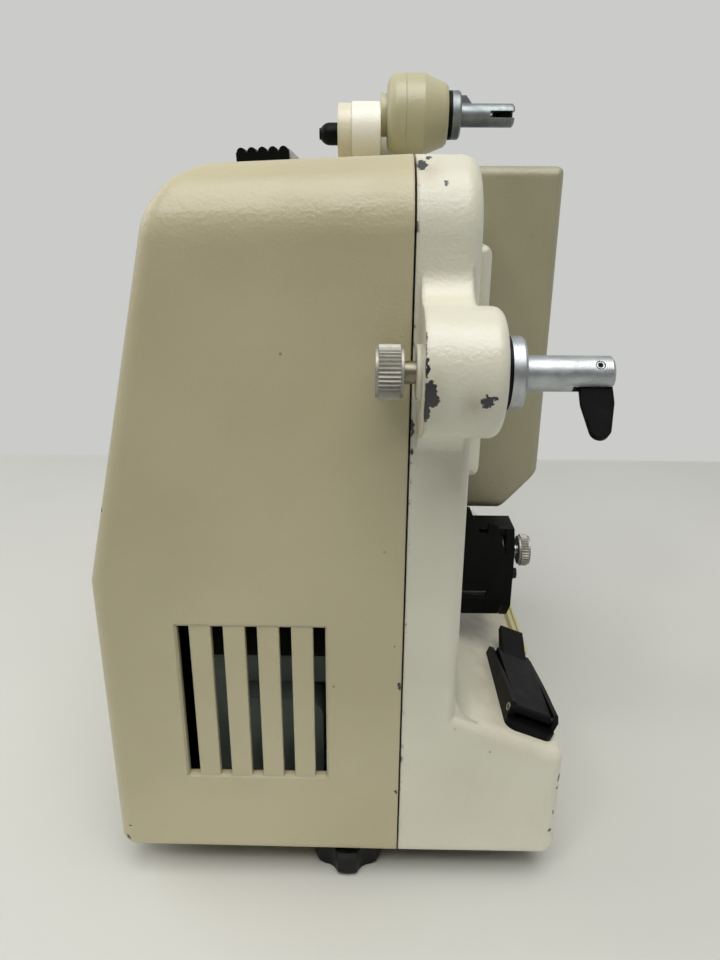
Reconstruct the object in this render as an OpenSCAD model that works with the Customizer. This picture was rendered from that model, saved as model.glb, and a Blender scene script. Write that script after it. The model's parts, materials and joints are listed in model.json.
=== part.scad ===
// Compact silent cine projector for 8 mm film: frame casting, drive cover, lamp house, folding feed arm,
// take-up spindle and the whole drive from the motor to the film.
// Millimetres. X is measured from the seam between cover and frame, +X to the film side.
// Y is measured from the rear face, +Y the way the picture is thrown. Z is measured from the underside.

/* [Body] */
// Depth of the body from its rear face to its front face
body_d = 186; // [180:1:200]
// Height of the body above its underside
body_h = 194; // [190:1:204]
// Height of the underside above the table
foot_h = 9.5; // [8.5:0.5:13]
// Width of the open seam between the cover and the frame
seam_gap = 0.5; // [0.3:0.1:1]
// Radius of the large rounding at the rear and front ends of the top
top_r = 18; // [14:1:22]
// Radius of the rounding along the bottom edges
bottom_r = 4; // [3.5:0.5:5]

/* [Drive cover] */
// Width of the cover at its bottom edge
cover_bottom_w = 83.5; // [78:0.5:90]
// Width of the cover at its widest line
cover_kink_w = 83; // [79:0.5:90]
// Height of the widest line
cover_kink_z = 89; // [80:1:100]
// Width from the seam to the centre of the rounded upper corner
cover_corner_x = 43; // [38:0.5:48]
// Radius of the cover's upper corner, seen from the rear
cover_corner_r = 19.4; // [12:0.2:22]
// Fall of the cover's top from the seam to the rounded corner
cover_top_fall = 2; // [1:0.5:3]
// Radius of the upright and lower edges of the cover
cover_edge_r = 5; // [4.5:0.5:8]
// Thickness of the cover's wall
cover_wall = 2.5; // [2:0.25:3]
// Number of vent slots in the rear wall
vent_count = 5; // [3:1:5]
// Width of one vent slot
vent_w = 3.3; // [2.5:0.1:4]
// Height of one vent slot
vent_h = 49; // [40:1:55]
// Distance from one vent slot to the next
vent_pitch = 9.1; // [7:0.1:10]
// Distance from the seam to the vent slot nearest to it
vent_x = 20.8; // [16:0.1:24]
// Height of the lower end of the vent slots
vent_z = 28.8; // [26:0.1:40]

/* [Frame casting] */
// Width of the upright wall of the frame
frame_w = 15.2; // [14.5:0.1:17]
// Wall thickness of the frame casting
frame_wall = 3.2; // [2.8:0.1:3.6]
// Radius of the frame's outer edges
frame_edge_r = 4; // [3:0.5:4.5]
// Distance from the seam to the outer edge of the toe
toe_w = 46.8; // [45:0.2:52]
// Height of the toe where it meets the upright wall
toe_in_z = 49.5; // [47:0.5:54]
// Height of the toe at its outer edge
toe_out_z = 37.2; // [35:0.2:40]
// Radius of the hollow corner between wall and toe
toe_fillet_r = 10; // [6:1:14]
// Distance from the seam to the face of the raised pad on the film side
pad_x = 22.3; // [20:0.1:24]
// Rear end of the raised pad
pad_y0 = 30; // [26:1:36]
// Front end of the raised pad
pad_y1 = 54; // [50:1:56]
// Lower end of the raised pad
pad_z0 = 109.5; // [100:0.5:116]
// Upper end of the raised pad
pad_z1 = 174; // [168:0.5:180]

/* [Take-up spindle] */
// Distance of the take-up axis behind the rear face
take_y = 9; // [8:0.5:11]
// Height of the take-up axis
take_z = 148; // [144:1:152]
// Radius of the boss that carries the take-up shaft
boss_r = 14.3; // [13.5:0.1:16]
// Distance from the seam to the left end of the boss
boss_x0 = 1.6; // [1:0.1:2]
// Distance from the seam to the right end of the boss
boss_x1 = 18.8; // [18:0.1:20]
// Radius of the hollow corners where the boss joins the rear face
boss_fillet_r = 8; // [5:0.5:9]
// Diameter of a reel spindle
spindle_d = 7.9; // [7.7:0.05:7.95]
// Length of a reel spindle beyond its collar
spindle_l = 19.6; // [18:0.2:22]
// Diameter of a spindle collar
collar_d = 16.2; // [14:0.2:18]
// Thickness of a spindle collar
collar_t = 4.4; // [3.5:0.1:5]
// Diameter of the shaft behind a spindle
shaft_d = 5; // [4:0.2:5.4]
// Length of the slot in the spindle's tip
latch_slot_l = 8.8; // [8.2:0.1:10]
// Width of the slot in the spindle's tip
latch_slot_w = 2.2; // [2:0.1:2.6]
// Width of the folding latch
latch_w = 7; // [6:0.1:7.2]
// Reach of the folding latch from its pin
latch_l = 15.6; // [13:0.2:18]
// Distance of the latch pin from the spindle's tip
latch_pin_in = 3.4; // [3.2:0.1:4]
// Diameter of the latch pin
latch_pin_d = 2; // [1.6:0.1:2.4]
// Height of the drive key above the spindle
key_h = 2.6; // [2:0.1:3]
// Length of the drive key
key_l = 4.2; // [3:0.1:5]
// Thickness of the drive key
key_t = 1.6; // [1.2:0.1:2]
// Diameter of the knurled clutch knob
clutch_d = 12.2; // [11:0.2:14]
// Thickness of the knurled clutch knob
clutch_t = 6.2; // [5:0.2:8]
// Gap between the boss and the clutch knob
clutch_gap = 3.9; // [3.2:0.1:6]

/* [Feed arm] */
// Length of the feed arm from its pivot to the feed axis
arm_l = 39; // [36:1:44]
// Height of the folded feed axis above the body
feed_rise = 21.8; // [18:0.2:26]
// Distance of the arm's middle line below the feed axis
arm_drop = 5.3; // [4:0.1:6]
// Height of the arm
arm_h = 20; // [18:0.5:22]
// Distance of the arm's pivot from the front face
arm_pivot_in = 20; // [16:1:24]
// Distance of the arm's film-side face from the seam, towards the drive side
arm_x = 6.8; // [6:0.1:8]
// Thickness of the arm casting
arm_t = 10.5; // [9:0.5:12]
// Thickness of the plate on the arm
arm_plate_t = 5; // [3:0.5:6]
// Diameter of the arm's pivot
arm_pivot_d = 8; // [6:0.5:9]
// Diameter of the dome button on the arm
button_d = 7.7; // [6:0.1:9]
// Distance that the dome button stands proud
button_l = 7; // [6:0.5:9]
// Travel of the dome button
button_travel = 2; // [1:0.5:2.5]
// Radius of the bell housing
bell_r = 13.6; // [12:0.2:14.5]
// Radius of the bell housing's small end
bell_front_r = 10.6; // [9.5:0.2:11.5]
// Distance from the seam to the parting line of the bell
bell_seam_x = 2.2; // [1:0.1:4]
// Distance from the seam to the start of the bell's cone
bell_cone_x = 8.5; // [7:0.1:10]
// Distance from the seam to the small end of the bell
bell_front_x = 17.2; // [16:0.1:18]
// Radius of the rounding at the back of the bell
bell_back_r = 4; // [2:0.5:5]
// Radius of the flange between arm and bell
bell_flange_r = 7.2; // [6.4:0.2:8]
// Thickness of the flange between arm and bell
bell_flange_t = 2.3; // [1.5:0.1:3]

/* [Control slide] */
// Distance from the seam to the free end of the ribbed grip
slide_x = 50; // [48:0.5:52]
// Distance of the slide's middle from the rear face
slide_y = 75; // [70:1:82]
// Length of the ribbed grip
slide_l = 15.8; // [14:0.2:18]
// Width of the ribbed grip
slide_w = 14; // [10:1:18]
// Height of the ribbed grip above the cover
slide_h = 9.2; // [8:0.2:11]
// Number of ribs on the grip
slide_ribs = 5; // [4:1:6]
// Length of the wedge-shaped pointer
pointer_l = 5; // [4:0.2:7]
// Travel of the slide towards the seam
slide_travel = 12; // [8:1:14]
// Width of the slot that the slide runs in
slide_slot_w = 4; // [3:0.5:6]

/* [Lamp house and film path] */
// Rear face of the lamp cover
lamp_y0 = 58; // [57:0.5:60]
// Front face of the lamp cover
lamp_y1 = 112; // [110:0.5:112]
// Lower edge of the lamp cover
lamp_z0 = 89; // [88:0.5:91]
// Upper edge of the lamp cover
lamp_z1 = 194.5; // [190:0.5:198]
// Distance from the seam to the outer face of the lamp cover
lamp_x = 45.6; // [45:0.2:50]
// Width of the sloping lower edge of the lamp cover
lamp_bevel_w = 12.4; // [8:0.2:14]
// Height of the sloping lower edge of the lamp cover
lamp_bevel_h = 13.8; // [10:0.2:16]
// Radius of the lamp cover's edges
lamp_edge_r = 3; // [2.5:0.25:4]
// Thickness of the lamp cover's wall
lamp_wall = 2; // [1.5:0.25:2.25]
// Distance from the seam to the optical axis
optic_x = 29.6; // [28.5:0.1:31]
// Height of the optical axis
optic_z = 140; // [137:0.5:143]
// Distance of the sprocket axis from the rear face
sprocket_y = 52; // [50:0.5:53]
// Height of the sprocket axis
sprocket_z = 77; // [75:0.5:78]
// Diameter of the sprocket shaft
sprocket_shaft_d = 4.2; // [3.6:0.1:4.6]
// Number of teeth on the sprocket
sprocket_teeth = 10; // [9:1:11]
// Distance from the seam to the outer cheek of the film guide
guide_x = 37; // [36:0.2:38]
// Diameter of the knurled sprocket knob
knob_d = 10.4; // [9:0.2:12]
// Thickness of the knurled sprocket knob
knob_t = 3.6; // [3:0.2:5]
// Diameter of the lens barrel in its mount
lens_d = 24; // [22:0.5:26]
// Diameter of the lens barrel's front ring
lens_ring_d = 28; // [26:0.5:28]
// Front end of the lens barrel
lens_front_y = 190; // [188:1:196]

/* [Film cutter] */
// Width of the film cutter
cutter_w = 15; // [13:0.5:16]
// Length of the film cutter's base
cutter_l = 38; // [34:1:42]
// Height of the film cutter's side walls
cutter_h = 6; // [5:0.5:7]
// Distance of the cutter's near end from the rear face
cutter_y = 4; // [3:0.5:6]
// Distance of the cutter's middle from the wall, along the toe
cutter_u = 23.4; // [22:0.2:24]
// Length of the thumb tab beyond the base
cutter_tab_l = 8; // [6:0.5:9]

/* [Drive] */
// Distance of the main shaft from the seam, towards the drive side
main_x = 6; // [5.8:0.1:7]
// Distance of the motor shaft from the seam, towards the drive side
motor_x = 42; // [41:0.5:44]
// Height of the motor shaft
motor_z = 126; // [124:0.5:130]
// Radius of the motor case
motor_r = 23; // [20:0.5:24]
// Length of the motor case
motor_l = 46; // [40:1:48]
// Rear end of the motor case
motor_y = 30; // [28:0.5:32]
// Radius of the shutter blades
shutter_r = 39; // [38:0.5:40]
// Radius of the worm
worm_r = 5; // [4.5:0.1:5.5]
// Radius of the worm wheel
worm_wheel_r = 10.5; // [9.5:0.1:11]
// Number of teeth on the worm wheel
worm_wheel_teeth = 24; // [18:1:30]

/* [Tilt foot] */
// Distance of the tilt foot from the seam, towards the drive side
tilt_x = 15; // [12:1:20]
// Distance of the tilt foot from the rear face
tilt_y = 11; // [11:0.5:14]
// Radius of the star knob over its lobes
star_r = 10.5; // [9:0.5:12]
// Number of lobes on the star knob
star_lobes = 5; // [4:1:7]
// Height of the star knob
star_h = 8; // [6:0.5:8.5]
// Diameter of the tilt stud
stud_d = 6; // [5:0.5:8]
// Length of the tilt stud above the star knob
stud_l = 26; // [22:1:30]

/* [Clearances] */
// Radial clearance of a shaft in its bore
fit = 0.05; // [0.02:0.01:0.08]
// Clearance between pieces that move past each other
gap = 0.3; // [0.25:0.05:0.4]

/* [Hidden] */
$fn = 64;
hull_fn = 32;
over = 1;
// Depth that a hollow corner bites into the faces it runs out on
bite = 0.06;
seam = seam_gap / 2;
inner_w = frame_w - frame_wall;
top_z = body_h - top_r;
plate_x = 1.5;
plate_t = 2;
base_z = 2.8;
base_t = 2.5;
base_top = base_z + base_t;

// The cover's sloping top, as a height above the underside at a distance from the seam
cover_round_z = body_h - cover_top_fall - top_r;
cover_arc_r = cover_corner_r - cover_edge_r;
cover_arc_z = body_h - cover_top_fall - cover_corner_r;
// Distance from the rear face to the centre of the edge rounding at a height, following the top's rounding
function cover_edge_y(z) = z <= cover_round_z ? cover_edge_r
    : top_r - sqrt(max(0, pow(top_r - cover_edge_r, 2) - pow(z - cover_round_z, 2)));
cover_top_slope = atan(cover_top_fall / cover_corner_x);
function cover_top_z(x) = body_h - cover_top_fall * x / cover_corner_x;

// The toe's sloping top
toe_slope = atan((toe_in_z - toe_out_z) / (toe_w - frame_w));
function toe_z(x) = toe_in_z - (x - frame_w) * tan(toe_slope);

// The sprocket's size follows from the pitch of the film's holes
film_pitch = 3.81;
sprocket_r = sprocket_teeth * film_pitch / (2 * PI);

// The take-up and feed spindles share one form
collar_gap = 0.3;
take_collar_x = boss_x1 + collar_gap;
feed_collar_x = bell_front_x + collar_gap;
take_tip_x = take_collar_x + collar_t + spindle_l;
// Turn of the take-up spindle at rest, with its latch towards the rear
take_turn = 40;
arm_pivot_y = body_d - arm_pivot_in;
feed_y = arm_pivot_y - arm_l;
feed_z = body_h + feed_rise;
arm_z = feed_z - arm_drop;
arm_left_x = -arm_x - arm_t;

// Belts run between the chassis plate and the frame's film wall
belt_t = 1.6;
belt_w = 1.6;
sprocket_belt_x = 5.6;
take_belt_x = 8.8;
cross_y = 98;
cross_z = optic_z - worm_r - worm_wheel_r - gap;
cross_pulley_r = 7;
take_pulley_r = 8.5;
sprocket_pulley_r = 7;
motor_pulley_r = 7;
main_pulley_r = 10;
motor_belt_y = 84;
shutter_y = 115;
claw_y = 118.2;
claw_lift = 0.4;
claw_t = 1.6;
gate_y = 121;

// The origin lies under the middle of the whole object
left_x = -max(cover_kink_w, cover_bottom_w);
right_x = max(toe_w, lamp_x, take_tip_x);
rear_y = -take_y - boss_r;
front_y = max(lens_front_y, body_d);
to_origin = [-(left_x + right_x) / 2, -(rear_y + front_y) / 2, foot_h];

// Placing helpers

// A child drawn along Z is laid along X, starting at the given point
module along_x(at) {
    translate(at) rotate([0, 90, 0]) children();
}

// A child drawn along Z is laid along Y, starting at the given point
module along_y(at) {
    translate(at) rotate([-90, 0, 0]) children();
}

// A flat outline drawn in Y and Z becomes a plate between two places along X
module side_plate(x0, x1) {
    translate([x0, 0, 0]) rotate([90, 0, 90]) linear_extrude(x1 - x0) children();
}

// A flat outline drawn in X and Z becomes a plate between two places along Y
module cross_plate(y0, y1) {
    translate([0, y1, 0]) rotate([90, 0, 0]) linear_extrude(y1 - y0) children();
}

// Pieces drawn on the toe: X along its slope, Y along the body, Z square to the slope
module on_toe() {
    translate([frame_w, 0, toe_in_z]) rotate([0, toe_slope, 0]) children();
}

// Pieces drawn on the cover's top: X towards the seam, Z square to the top
module on_cover_top(x, y) {
    translate([-x, y, cover_top_z(x)]) rotate([0, -cover_top_slope, 0]) children();
}

// Shared shapes

module ring(r_out, r_in, h) {
    difference() {
        cylinder(r = r_out, h = h);
        translate([0, 0, -over]) cylinder(r = r_in, h = h + 2 * over);
    }
}

// Outline of a bar with two round ends
module round_bar(length, width) {
    circle(d = width);
    translate([0, -width / 2]) square([length, width]);
    translate([length, 0]) circle(d = width);
}

// Outline of a box with round corners, between two opposite corners
module round_box(p0, p1, r) {
    translate([p0[0], p0[1] + r]) square([p1[0] - p0[0], p1[1] - p0[1] - 2 * r]);
    translate([p0[0] + r, p0[1]]) square([p1[0] - p0[0] - 2 * r, p1[1] - p0[1]]);
    for (x = [p0[0] + r, p1[0] - r])
        for (y = [p0[1] + r, p1[1] - r])
            translate([x, y]) circle(r);
}

// Block between two opposite corners, with edges rounded as seen from the side, the rear and above
module round_block(p0, p1, r) {
    intersection() {
        side_plate(p0[0] - over, p1[0] + over) round_box([p0[1], p0[2]], [p1[1], p1[2]], r);
        cross_plate(p0[1] - over, p1[1] + over) round_box([p0[0], p0[2]], [p1[0], p1[2]], r);
        translate([0, 0, p0[2] - over]) linear_extrude(p1[2] - p0[2] + 2 * over)
            round_box([p0[0], p0[1]], [p1[0], p1[1]], r);
    }
}

// Outline with straight flutes, for knurled rims
module fluted_circle(r, flutes, depth) {
    polygon([for (i = [0 : 2 * flutes - 1])
        let (a = 180 * i / flutes, q = i % 2 == 0 ? r : r - depth) [q * cos(a), q * sin(a)]]);
}

// Knurled disc along Z: a fluted band between two plain rims
module knurled_disc(d, t, flutes, depth) {
    rim = 0.7;
    cylinder(r = d / 2 - depth - 0.1, h = t);
    translate([0, 0, rim]) linear_extrude(t - 2 * rim) fluted_circle(d / 2, flutes, depth);
}

// Path of an open belt: the far arc of each of two circles, joined by their outer tangents
function belt_path(c0, r0, c1, r1) =
    let (turn = atan2(c1[1] - c0[1], c1[0] - c0[0]), lean = acos((r0 - r1) / norm(c1 - c0)), steps = 24)
    concat(
        [for (i = [0 : steps]) let (a = turn + lean + i * (360 - 2 * lean) / steps) c0 + r0 * [cos(a), sin(a)]],
        [for (i = [0 : steps]) let (a = turn - lean + i * 2 * lean / steps) c1 + r1 * [cos(a), sin(a)]]
    );

// Outline of a flat belt round two pulleys
module belt_loop(c0, r0, c1, r1) {
    difference() {
        polygon(belt_path(c0, r0 + gap + belt_t, c1, r1 + gap + belt_t));
        polygon(belt_path(c0, r0 + gap, c1, r1 + gap));
    }
}

// Pulley along Z with a rim on each side of its belt seat
module pulley(r, width, bore_r) {
    rim = 0.6;
    difference() {
        union() {
            cylinder(r = r, h = width);
            cylinder(r = r + belt_t + rim, h = rim);
            translate([0, 0, width - rim]) cylinder(r = r + belt_t + rim, h = rim);
        }
        translate([0, 0, -over]) cylinder(r = bore_r, h = width + 2 * over);
    }
}

// Housing

// Side outline of the body, drawn in by an inset, running down through the underside
module side_outline(inset) {
    translate([inset, -over]) square([body_d - 2 * inset, top_z + over]);
    translate([top_r, top_z]) square([body_d - 2 * top_r, top_r - inset]);
    for (y = [top_r, body_d - top_r])
        translate([y, top_z]) circle(top_r - inset);
}

// The frame's upright wall with rounded outer edges
module wall_form() {
    hull() {
        for (y = [top_r, body_d - top_r]) {
            along_x([seam, y, top_z])
                cylinder(r = top_r, h = frame_w - frame_edge_r - seam, $fn = hull_fn);
            along_x([frame_w - frame_edge_r, y, top_z]) rotate_extrude($fn = hull_fn)
                translate([top_r - frame_edge_r, 0]) circle(frame_edge_r, $fn = hull_fn);
        }
        for (y = [bottom_r, body_d - bottom_r]) {
            along_x([seam, y, bottom_r])
                cylinder(r = bottom_r, h = frame_w - bottom_r - seam, $fn = hull_fn);
            translate([frame_w - bottom_r, y, bottom_r]) sphere(bottom_r, $fn = hull_fn);
        }
    }
}

// The toe along the foot of the film side
module toe_form() {
    lift = frame_edge_r / cos(toe_slope);
    in_x = frame_w / 2;
    out_x = toe_w - frame_edge_r;
    hull() {
        for (y = [frame_edge_r, body_d - frame_edge_r]) {
            translate([in_x, y, toe_z(in_x) - lift]) sphere(frame_edge_r, $fn = hull_fn);
            translate([out_x, y, toe_z(out_x) - lift]) sphere(frame_edge_r, $fn = hull_fn);
            translate([in_x, y, frame_edge_r]) sphere(frame_edge_r, $fn = hull_fn);
            translate([out_x, y, frame_edge_r]) sphere(frame_edge_r, $fn = hull_fn);
        }
    }
}

// Hollow corner between the wall and the toe
module toe_corner() {
    cx = frame_w + toe_fillet_r - bite;
    cz = toe_z(cx) + (toe_fillet_r - bite) / cos(toe_slope);
    foot = [cx - toe_fillet_r * sin(toe_slope), cz - toe_fillet_r * cos(toe_slope)];
    cross_plate(frame_edge_r / 2, body_d - frame_edge_r / 2) difference() {
        polygon([
            [inner_w, toe_z(cx) - toe_fillet_r], [inner_w, cz], [cx, cz], foot,
            [foot[0], toe_z(cx) - toe_fillet_r]
        ]);
        translate([cx, cz]) circle(toe_fillet_r);
    }
}

// Raised pad on the film side, behind the lamp house
module film_pad() {
    round_block([inner_w - 2 * frame_edge_r, pad_y0, pad_z0], [pad_x, pad_y1, pad_z1], frame_edge_r);
}

// Round boss for the take-up shaft, with hollow corners to the rear face
module take_up_boss() {
    round = 2.5;
    fillet_y = bite - boss_fillet_r;
    dz = sqrt(pow(boss_r + boss_fillet_r - bite, 2) - pow(take_y + fillet_y, 2));
    along_x([boss_x0, -take_y, take_z]) rotate_extrude() {
        square([boss_r, boss_x1 - boss_x0 - round]);
        square([boss_r - round, boss_x1 - boss_x0]);
        translate([boss_r - round, boss_x1 - boss_x0 - round]) circle(round);
    }
    side_plate(boss_x0, frame_w - frame_edge_r / 2) difference() {
        translate([fillet_y, take_z - dz]) square([boss_fillet_r + frame_wall, 2 * dz]);
        for (z = [take_z - dz, take_z + dz])
            translate([fillet_y, z]) circle(boss_fillet_r);
    }
}

// Lug on the frame's top that carries the feed arm's pivot
arm_lug_x0 = -arm_x + gap;
module arm_lug() {
    along_x([arm_lug_x0, arm_pivot_y, arm_z]) cylinder(d = arm_h, h = inner_w - arm_lug_x0);
    lug_w = arm_h - 1;
    translate([seam, arm_pivot_y - lug_w / 2, body_h - frame_wall])
        cube([inner_w - seam - 0.5, lug_w, arm_z - body_h + frame_wall]);
}

// Posts inside the frame that carry the chassis plate, as places in Y and Z
plate_inset = 9;
post_r = 4;
plate_posts = [
    [plate_inset + post_r, 24], [body_d - plate_inset - post_r, 24],
    [plate_inset + post_r, 108], [body_d - plate_inset - post_r, 108],
    [80, body_h - 16], [140, body_h - 16]
];
// Posts in the toe that carry the base plate, as places in X and Y
toe_hollow_z = 27;
toe_hollow_x = toe_w - frame_edge_r - 1;
post_in = 24;
toe_posts = [[34, post_in], [34, body_d - post_in]];

// Opening in the frame's wall and the chassis plate for the shutter and the claw
window_y0 = shutter_y - 2.4;
window_y1 = claw_y + claw_lift + claw_t + 2 * gap;
module shutter_window() {
    translate([-over, window_y0, optic_z - shutter_r - over])
        cube([frame_w + 2 * over, window_y1 - window_y0, 2 * shutter_r + 2 * over]);
}

// Room inside the frame for belts and wiring
module frame_room() {
    side_plate(-over, inner_w) side_outline(frame_wall + 2);
    translate([inner_w - over, frame_edge_r + 1.5, -over])
        cube([toe_hollow_x - inner_w + over, body_d - 2 * frame_edge_r - 3, toe_hollow_z + over]);
}

// Room inside the boss for the take-up pulley, open to the belt
take_room_x0 = boss_x0 + 2.2;
module take_up_room() {
    room_r = boss_r - 2;
    along_x([take_room_x0, -take_y, take_z]) cylinder(r = room_r, h = inner_w - take_room_x0);
    clear = gap + belt_t + 0.6;
    side_plate(take_room_x0, inner_w)
        polygon(belt_path([cross_y, cross_z], cross_pulley_r + clear, [-take_y, take_z], take_pulley_r + clear));
}

bush_r = shaft_d / 2 + 2;
module main_frame() {
    color("#e4e0d2") difference() {
        union() {
            difference() {
                union() {
                    wall_form();
                    toe_form();
                    toe_corner();
                    film_pad();
                    take_up_boss();
                }
                frame_room();
                take_up_room();
            }
            arm_lug();
            for (p = plate_posts)
                along_x([plate_x + plate_t, p[0], p[1]])
                    cylinder(r = post_r, h = inner_w - plate_x - plate_t + over);
            for (p = toe_posts)
                translate([p[0], p[1], base_top]) cylinder(r = 5, h = toe_hollow_z - base_top + over);
        }
        along_x([-over, -take_y, take_z]) cylinder(r = bush_r, h = take_room_x0 + 2 * over);
        along_x([0, -take_y, take_z]) cylinder(r = shaft_d / 2 + fit, h = boss_x1 + over);
        along_x([arm_lug_x0 - over, arm_pivot_y, arm_z])
            cylinder(d = arm_pivot_d + 2 * fit, h = inner_w - arm_lug_x0 - 1);
        along_x([inner_w - over, cross_y, cross_z])
            cylinder(r = shaft_d / 2 + fit, h = frame_wall / 2 + over);
        along_x([inner_w - over, sprocket_y, sprocket_z])
            cylinder(d = sprocket_shaft_d + 2 * fit, h = frame_w);
        shutter_window();
    }
}

// Outer form of the drive cover, drawn in by an inset and run out past the seam
module cover_form(inset, run_out) {
    edge_r = cover_edge_r - inset;
    hull() {
        for (side = [0, 1]) translate([0, side * body_d, 0]) mirror([0, side, 0]) {
            for (a = [0 : 22.5 : 90]) {
                z = cover_arc_z + cover_arc_r * sin(a);
                translate([-cover_corner_x - cover_arc_r * cos(a), cover_edge_y(z), z]) sphere(edge_r, $fn = hull_fn);
            }
            translate([-cover_kink_w + cover_edge_r, cover_edge_r, cover_kink_z]) sphere(edge_r, $fn = hull_fn);
            translate([-cover_bottom_w + cover_edge_r, cover_edge_r, cover_edge_r]) sphere(edge_r, $fn = hull_fn);
            along_x([-seam - over, top_r, top_z]) cylinder(r = top_r - inset, h = over + run_out, $fn = 48);
            along_x([-seam - over, bottom_r, bottom_r])
                cylinder(r = bottom_r - inset, h = over + run_out, $fn = hull_fn);
        }
    }
}

cover_lip = 5;
vent_span = (vent_count - 1) * vent_pitch + vent_w;
vent_panel_rim = 3.4;
vent_panel_d = 0.35;
module drive_cover() {
    color("#9b9377") difference() {
        cover_form(0, 0);
        cover_form(cover_wall, over);
        // opening in the bottom, inside a narrow lip
        translate([-cover_bottom_w + cover_edge_r + cover_lip, cover_edge_r + cover_lip, -over])
            cube([cover_bottom_w, body_d - 2 * (cover_edge_r + cover_lip), bottom_r + 2 * over]);
        translate([-tilt_x, tilt_y, -over]) cylinder(d = stud_d + 4, h = bottom_r + 2 * over);
        // shallow panel round the vents
        translate([-vent_x - vent_span - vent_panel_rim, -over, vent_z - vent_panel_rim])
            cube([vent_span + 2 * vent_panel_rim, over + vent_panel_d, vent_h + 2 * vent_panel_rim]);
        for (i = [0 : vent_count - 1])
            translate([-vent_x - i * vent_pitch - vent_w, -over, vent_z])
                cube([vent_w, cover_edge_r + 2 * over, vent_h]);
        // slot for the control slide
        on_cover_top(slide_x, slide_y)
            translate([slide_stem_u - slide_stem_l / 2 - gap, -slide_slot_w / 2, -3 * cover_wall])
                cube([slide_stem_l + slide_travel + 2 * gap, slide_slot_w, 6 * cover_wall]);
    }
}

base_inset = 5.5;
module base_plate() {
    color("#3a3a38") difference() {
        translate([-cover_bottom_w + base_inset, base_inset, base_z])
            cube([cover_bottom_w - base_inset + toe_hollow_x - gap, body_d - 2 * base_inset, base_t]);
        translate([-tilt_x, tilt_y, 0]) cylinder(r = tilt_bush_r + fit, h = base_top + over);
    }
}

// Steel plate that carries the drive, screwed to posts inside the frame
plate_chamfer = 14;
module chassis_plate() {
    color("#8d8f8c") side_plate(plate_x, plate_x + plate_t) difference() {
        polygon([
            [plate_inset, base_top], [body_d - plate_inset, base_top],
            [body_d - plate_inset, top_z - 2], [body_d - plate_inset - plate_chamfer, body_h - plate_inset],
            [plate_inset + plate_chamfer, body_h - plate_inset], [plate_inset, top_z - 2]
        ]);
        translate([cross_y, cross_z]) circle(shaft_d / 2 + fit);
        // room for the main pulley
        translate([motor_belt_y - 4, optic_z - main_pulley_r - 4]) square([8, 2 * main_pulley_r + 8]);
        translate([window_y0, optic_z - shutter_r - over])
            square([window_y1 - window_y0, 2 * shutter_r + 2 * over]);
    }
}

foot_r = 8;
foot_in = 22;
front_foot_places = [[-cover_bottom_w + foot_in + 3.5, body_d - foot_in], [toe_w - 0.75 * foot_in, body_d - 2 * foot_in]];
module front_feet() {
    color("#1b1b1b") for (p = front_foot_places)
        translate([p[0], p[1], -foot_h]) {
            rotate_extrude() polygon([
                [0, 0], [foot_r - 1.5, 0], [foot_r, 1.5], [foot_r - 1, foot_h + base_z], [0, foot_h + base_z]
            ]);
        }
}

// Tilt foot

star_valley_r = star_r * 0.42;
module star_outline() {
    difference() {
        circle(star_r);
        for (i = [0 : star_lobes - 1])
            rotate(90 + 360 * i / star_lobes)
                translate([star_r + star_valley_r * 0.45, 0]) circle(star_valley_r);
    }
}

star_hub_h = foot_h - gap;
module tilt_knob() {
    color("#1d1d1f") translate([-tilt_x, tilt_y, -foot_h]) difference() {
        union() {
            intersection() {
                linear_extrude(star_h) star_outline();
                rotate_extrude() polygon([
                    [0, 0], [star_r - 1.5, 0], [star_r, 1.5], [star_r, star_h - 1], [star_r - 1, star_h], [0, star_h]
                ]);
            }
            cylinder(d = stud_d + 3, h = star_hub_h);
        }
        translate([0, 0, star_h / 2]) cylinder(d = stud_d + 2 * fit, h = star_hub_h);
    }
}

module tilt_stud() {
    color("#b9bbbb") translate([-tilt_x, tilt_y, star_h / 2 - foot_h + gap])
        cylinder(d = stud_d, h = stud_l);
}

tilt_bush_r = stud_d / 2 + 2;
tilt_bush_h = 14;
module tilt_bush() {
    color("#b08d4a") translate([-tilt_x, tilt_y, base_z]) difference() {
        union() {
            cylinder(r = tilt_bush_r, h = tilt_bush_h);
            translate([0, 0, base_t]) cylinder(r = tilt_bush_r + 2, h = 3);
        }
        translate([0, 0, -over]) cylinder(d = stud_d + 2 * fit, h = tilt_bush_h + 2 * over);
    }
}

// Reel spindles, drawn along Z from the back of the collar, with the latch folded towards +X

module spindle_form(tail) {
    tip = collar_t + spindle_l;
    chamfer = 0.6;
    difference() {
        union() {
            rotate_extrude() polygon([
                [0, -tail], [shaft_d / 2, -tail], [shaft_d / 2, 0], [collar_d / 2 - chamfer, 0],
                [collar_d / 2, chamfer], [collar_d / 2, collar_t - chamfer],
                [collar_d / 2 - chamfer, collar_t], [spindle_d / 2, collar_t],
                [spindle_d / 2, tip - chamfer], [spindle_d / 2 - chamfer, tip], [0, tip]
            ]);
            // drive key, square to the latch
            rotate([90, 0, 90]) translate([0, 0, -key_t / 2]) linear_extrude(key_t) polygon([
                [0, collar_t - chamfer], [spindle_d / 2 + key_h, collar_t - chamfer],
                [spindle_d / 2 + key_h, collar_t + key_l / 2], [spindle_d / 2, collar_t + key_l],
                [0, collar_t + key_l]
            ]);
        }
        translate([-spindle_d, -latch_slot_w / 2, tip - latch_slot_l])
            cube([2 * spindle_d, latch_slot_w, latch_slot_l + over]);
        translate([0, 0, tip - latch_pin_in]) rotate([90, 0, 0])
            cylinder(d = latch_pin_d + 2 * fit, h = 2 * spindle_d, center = true);
    }
}

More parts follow.
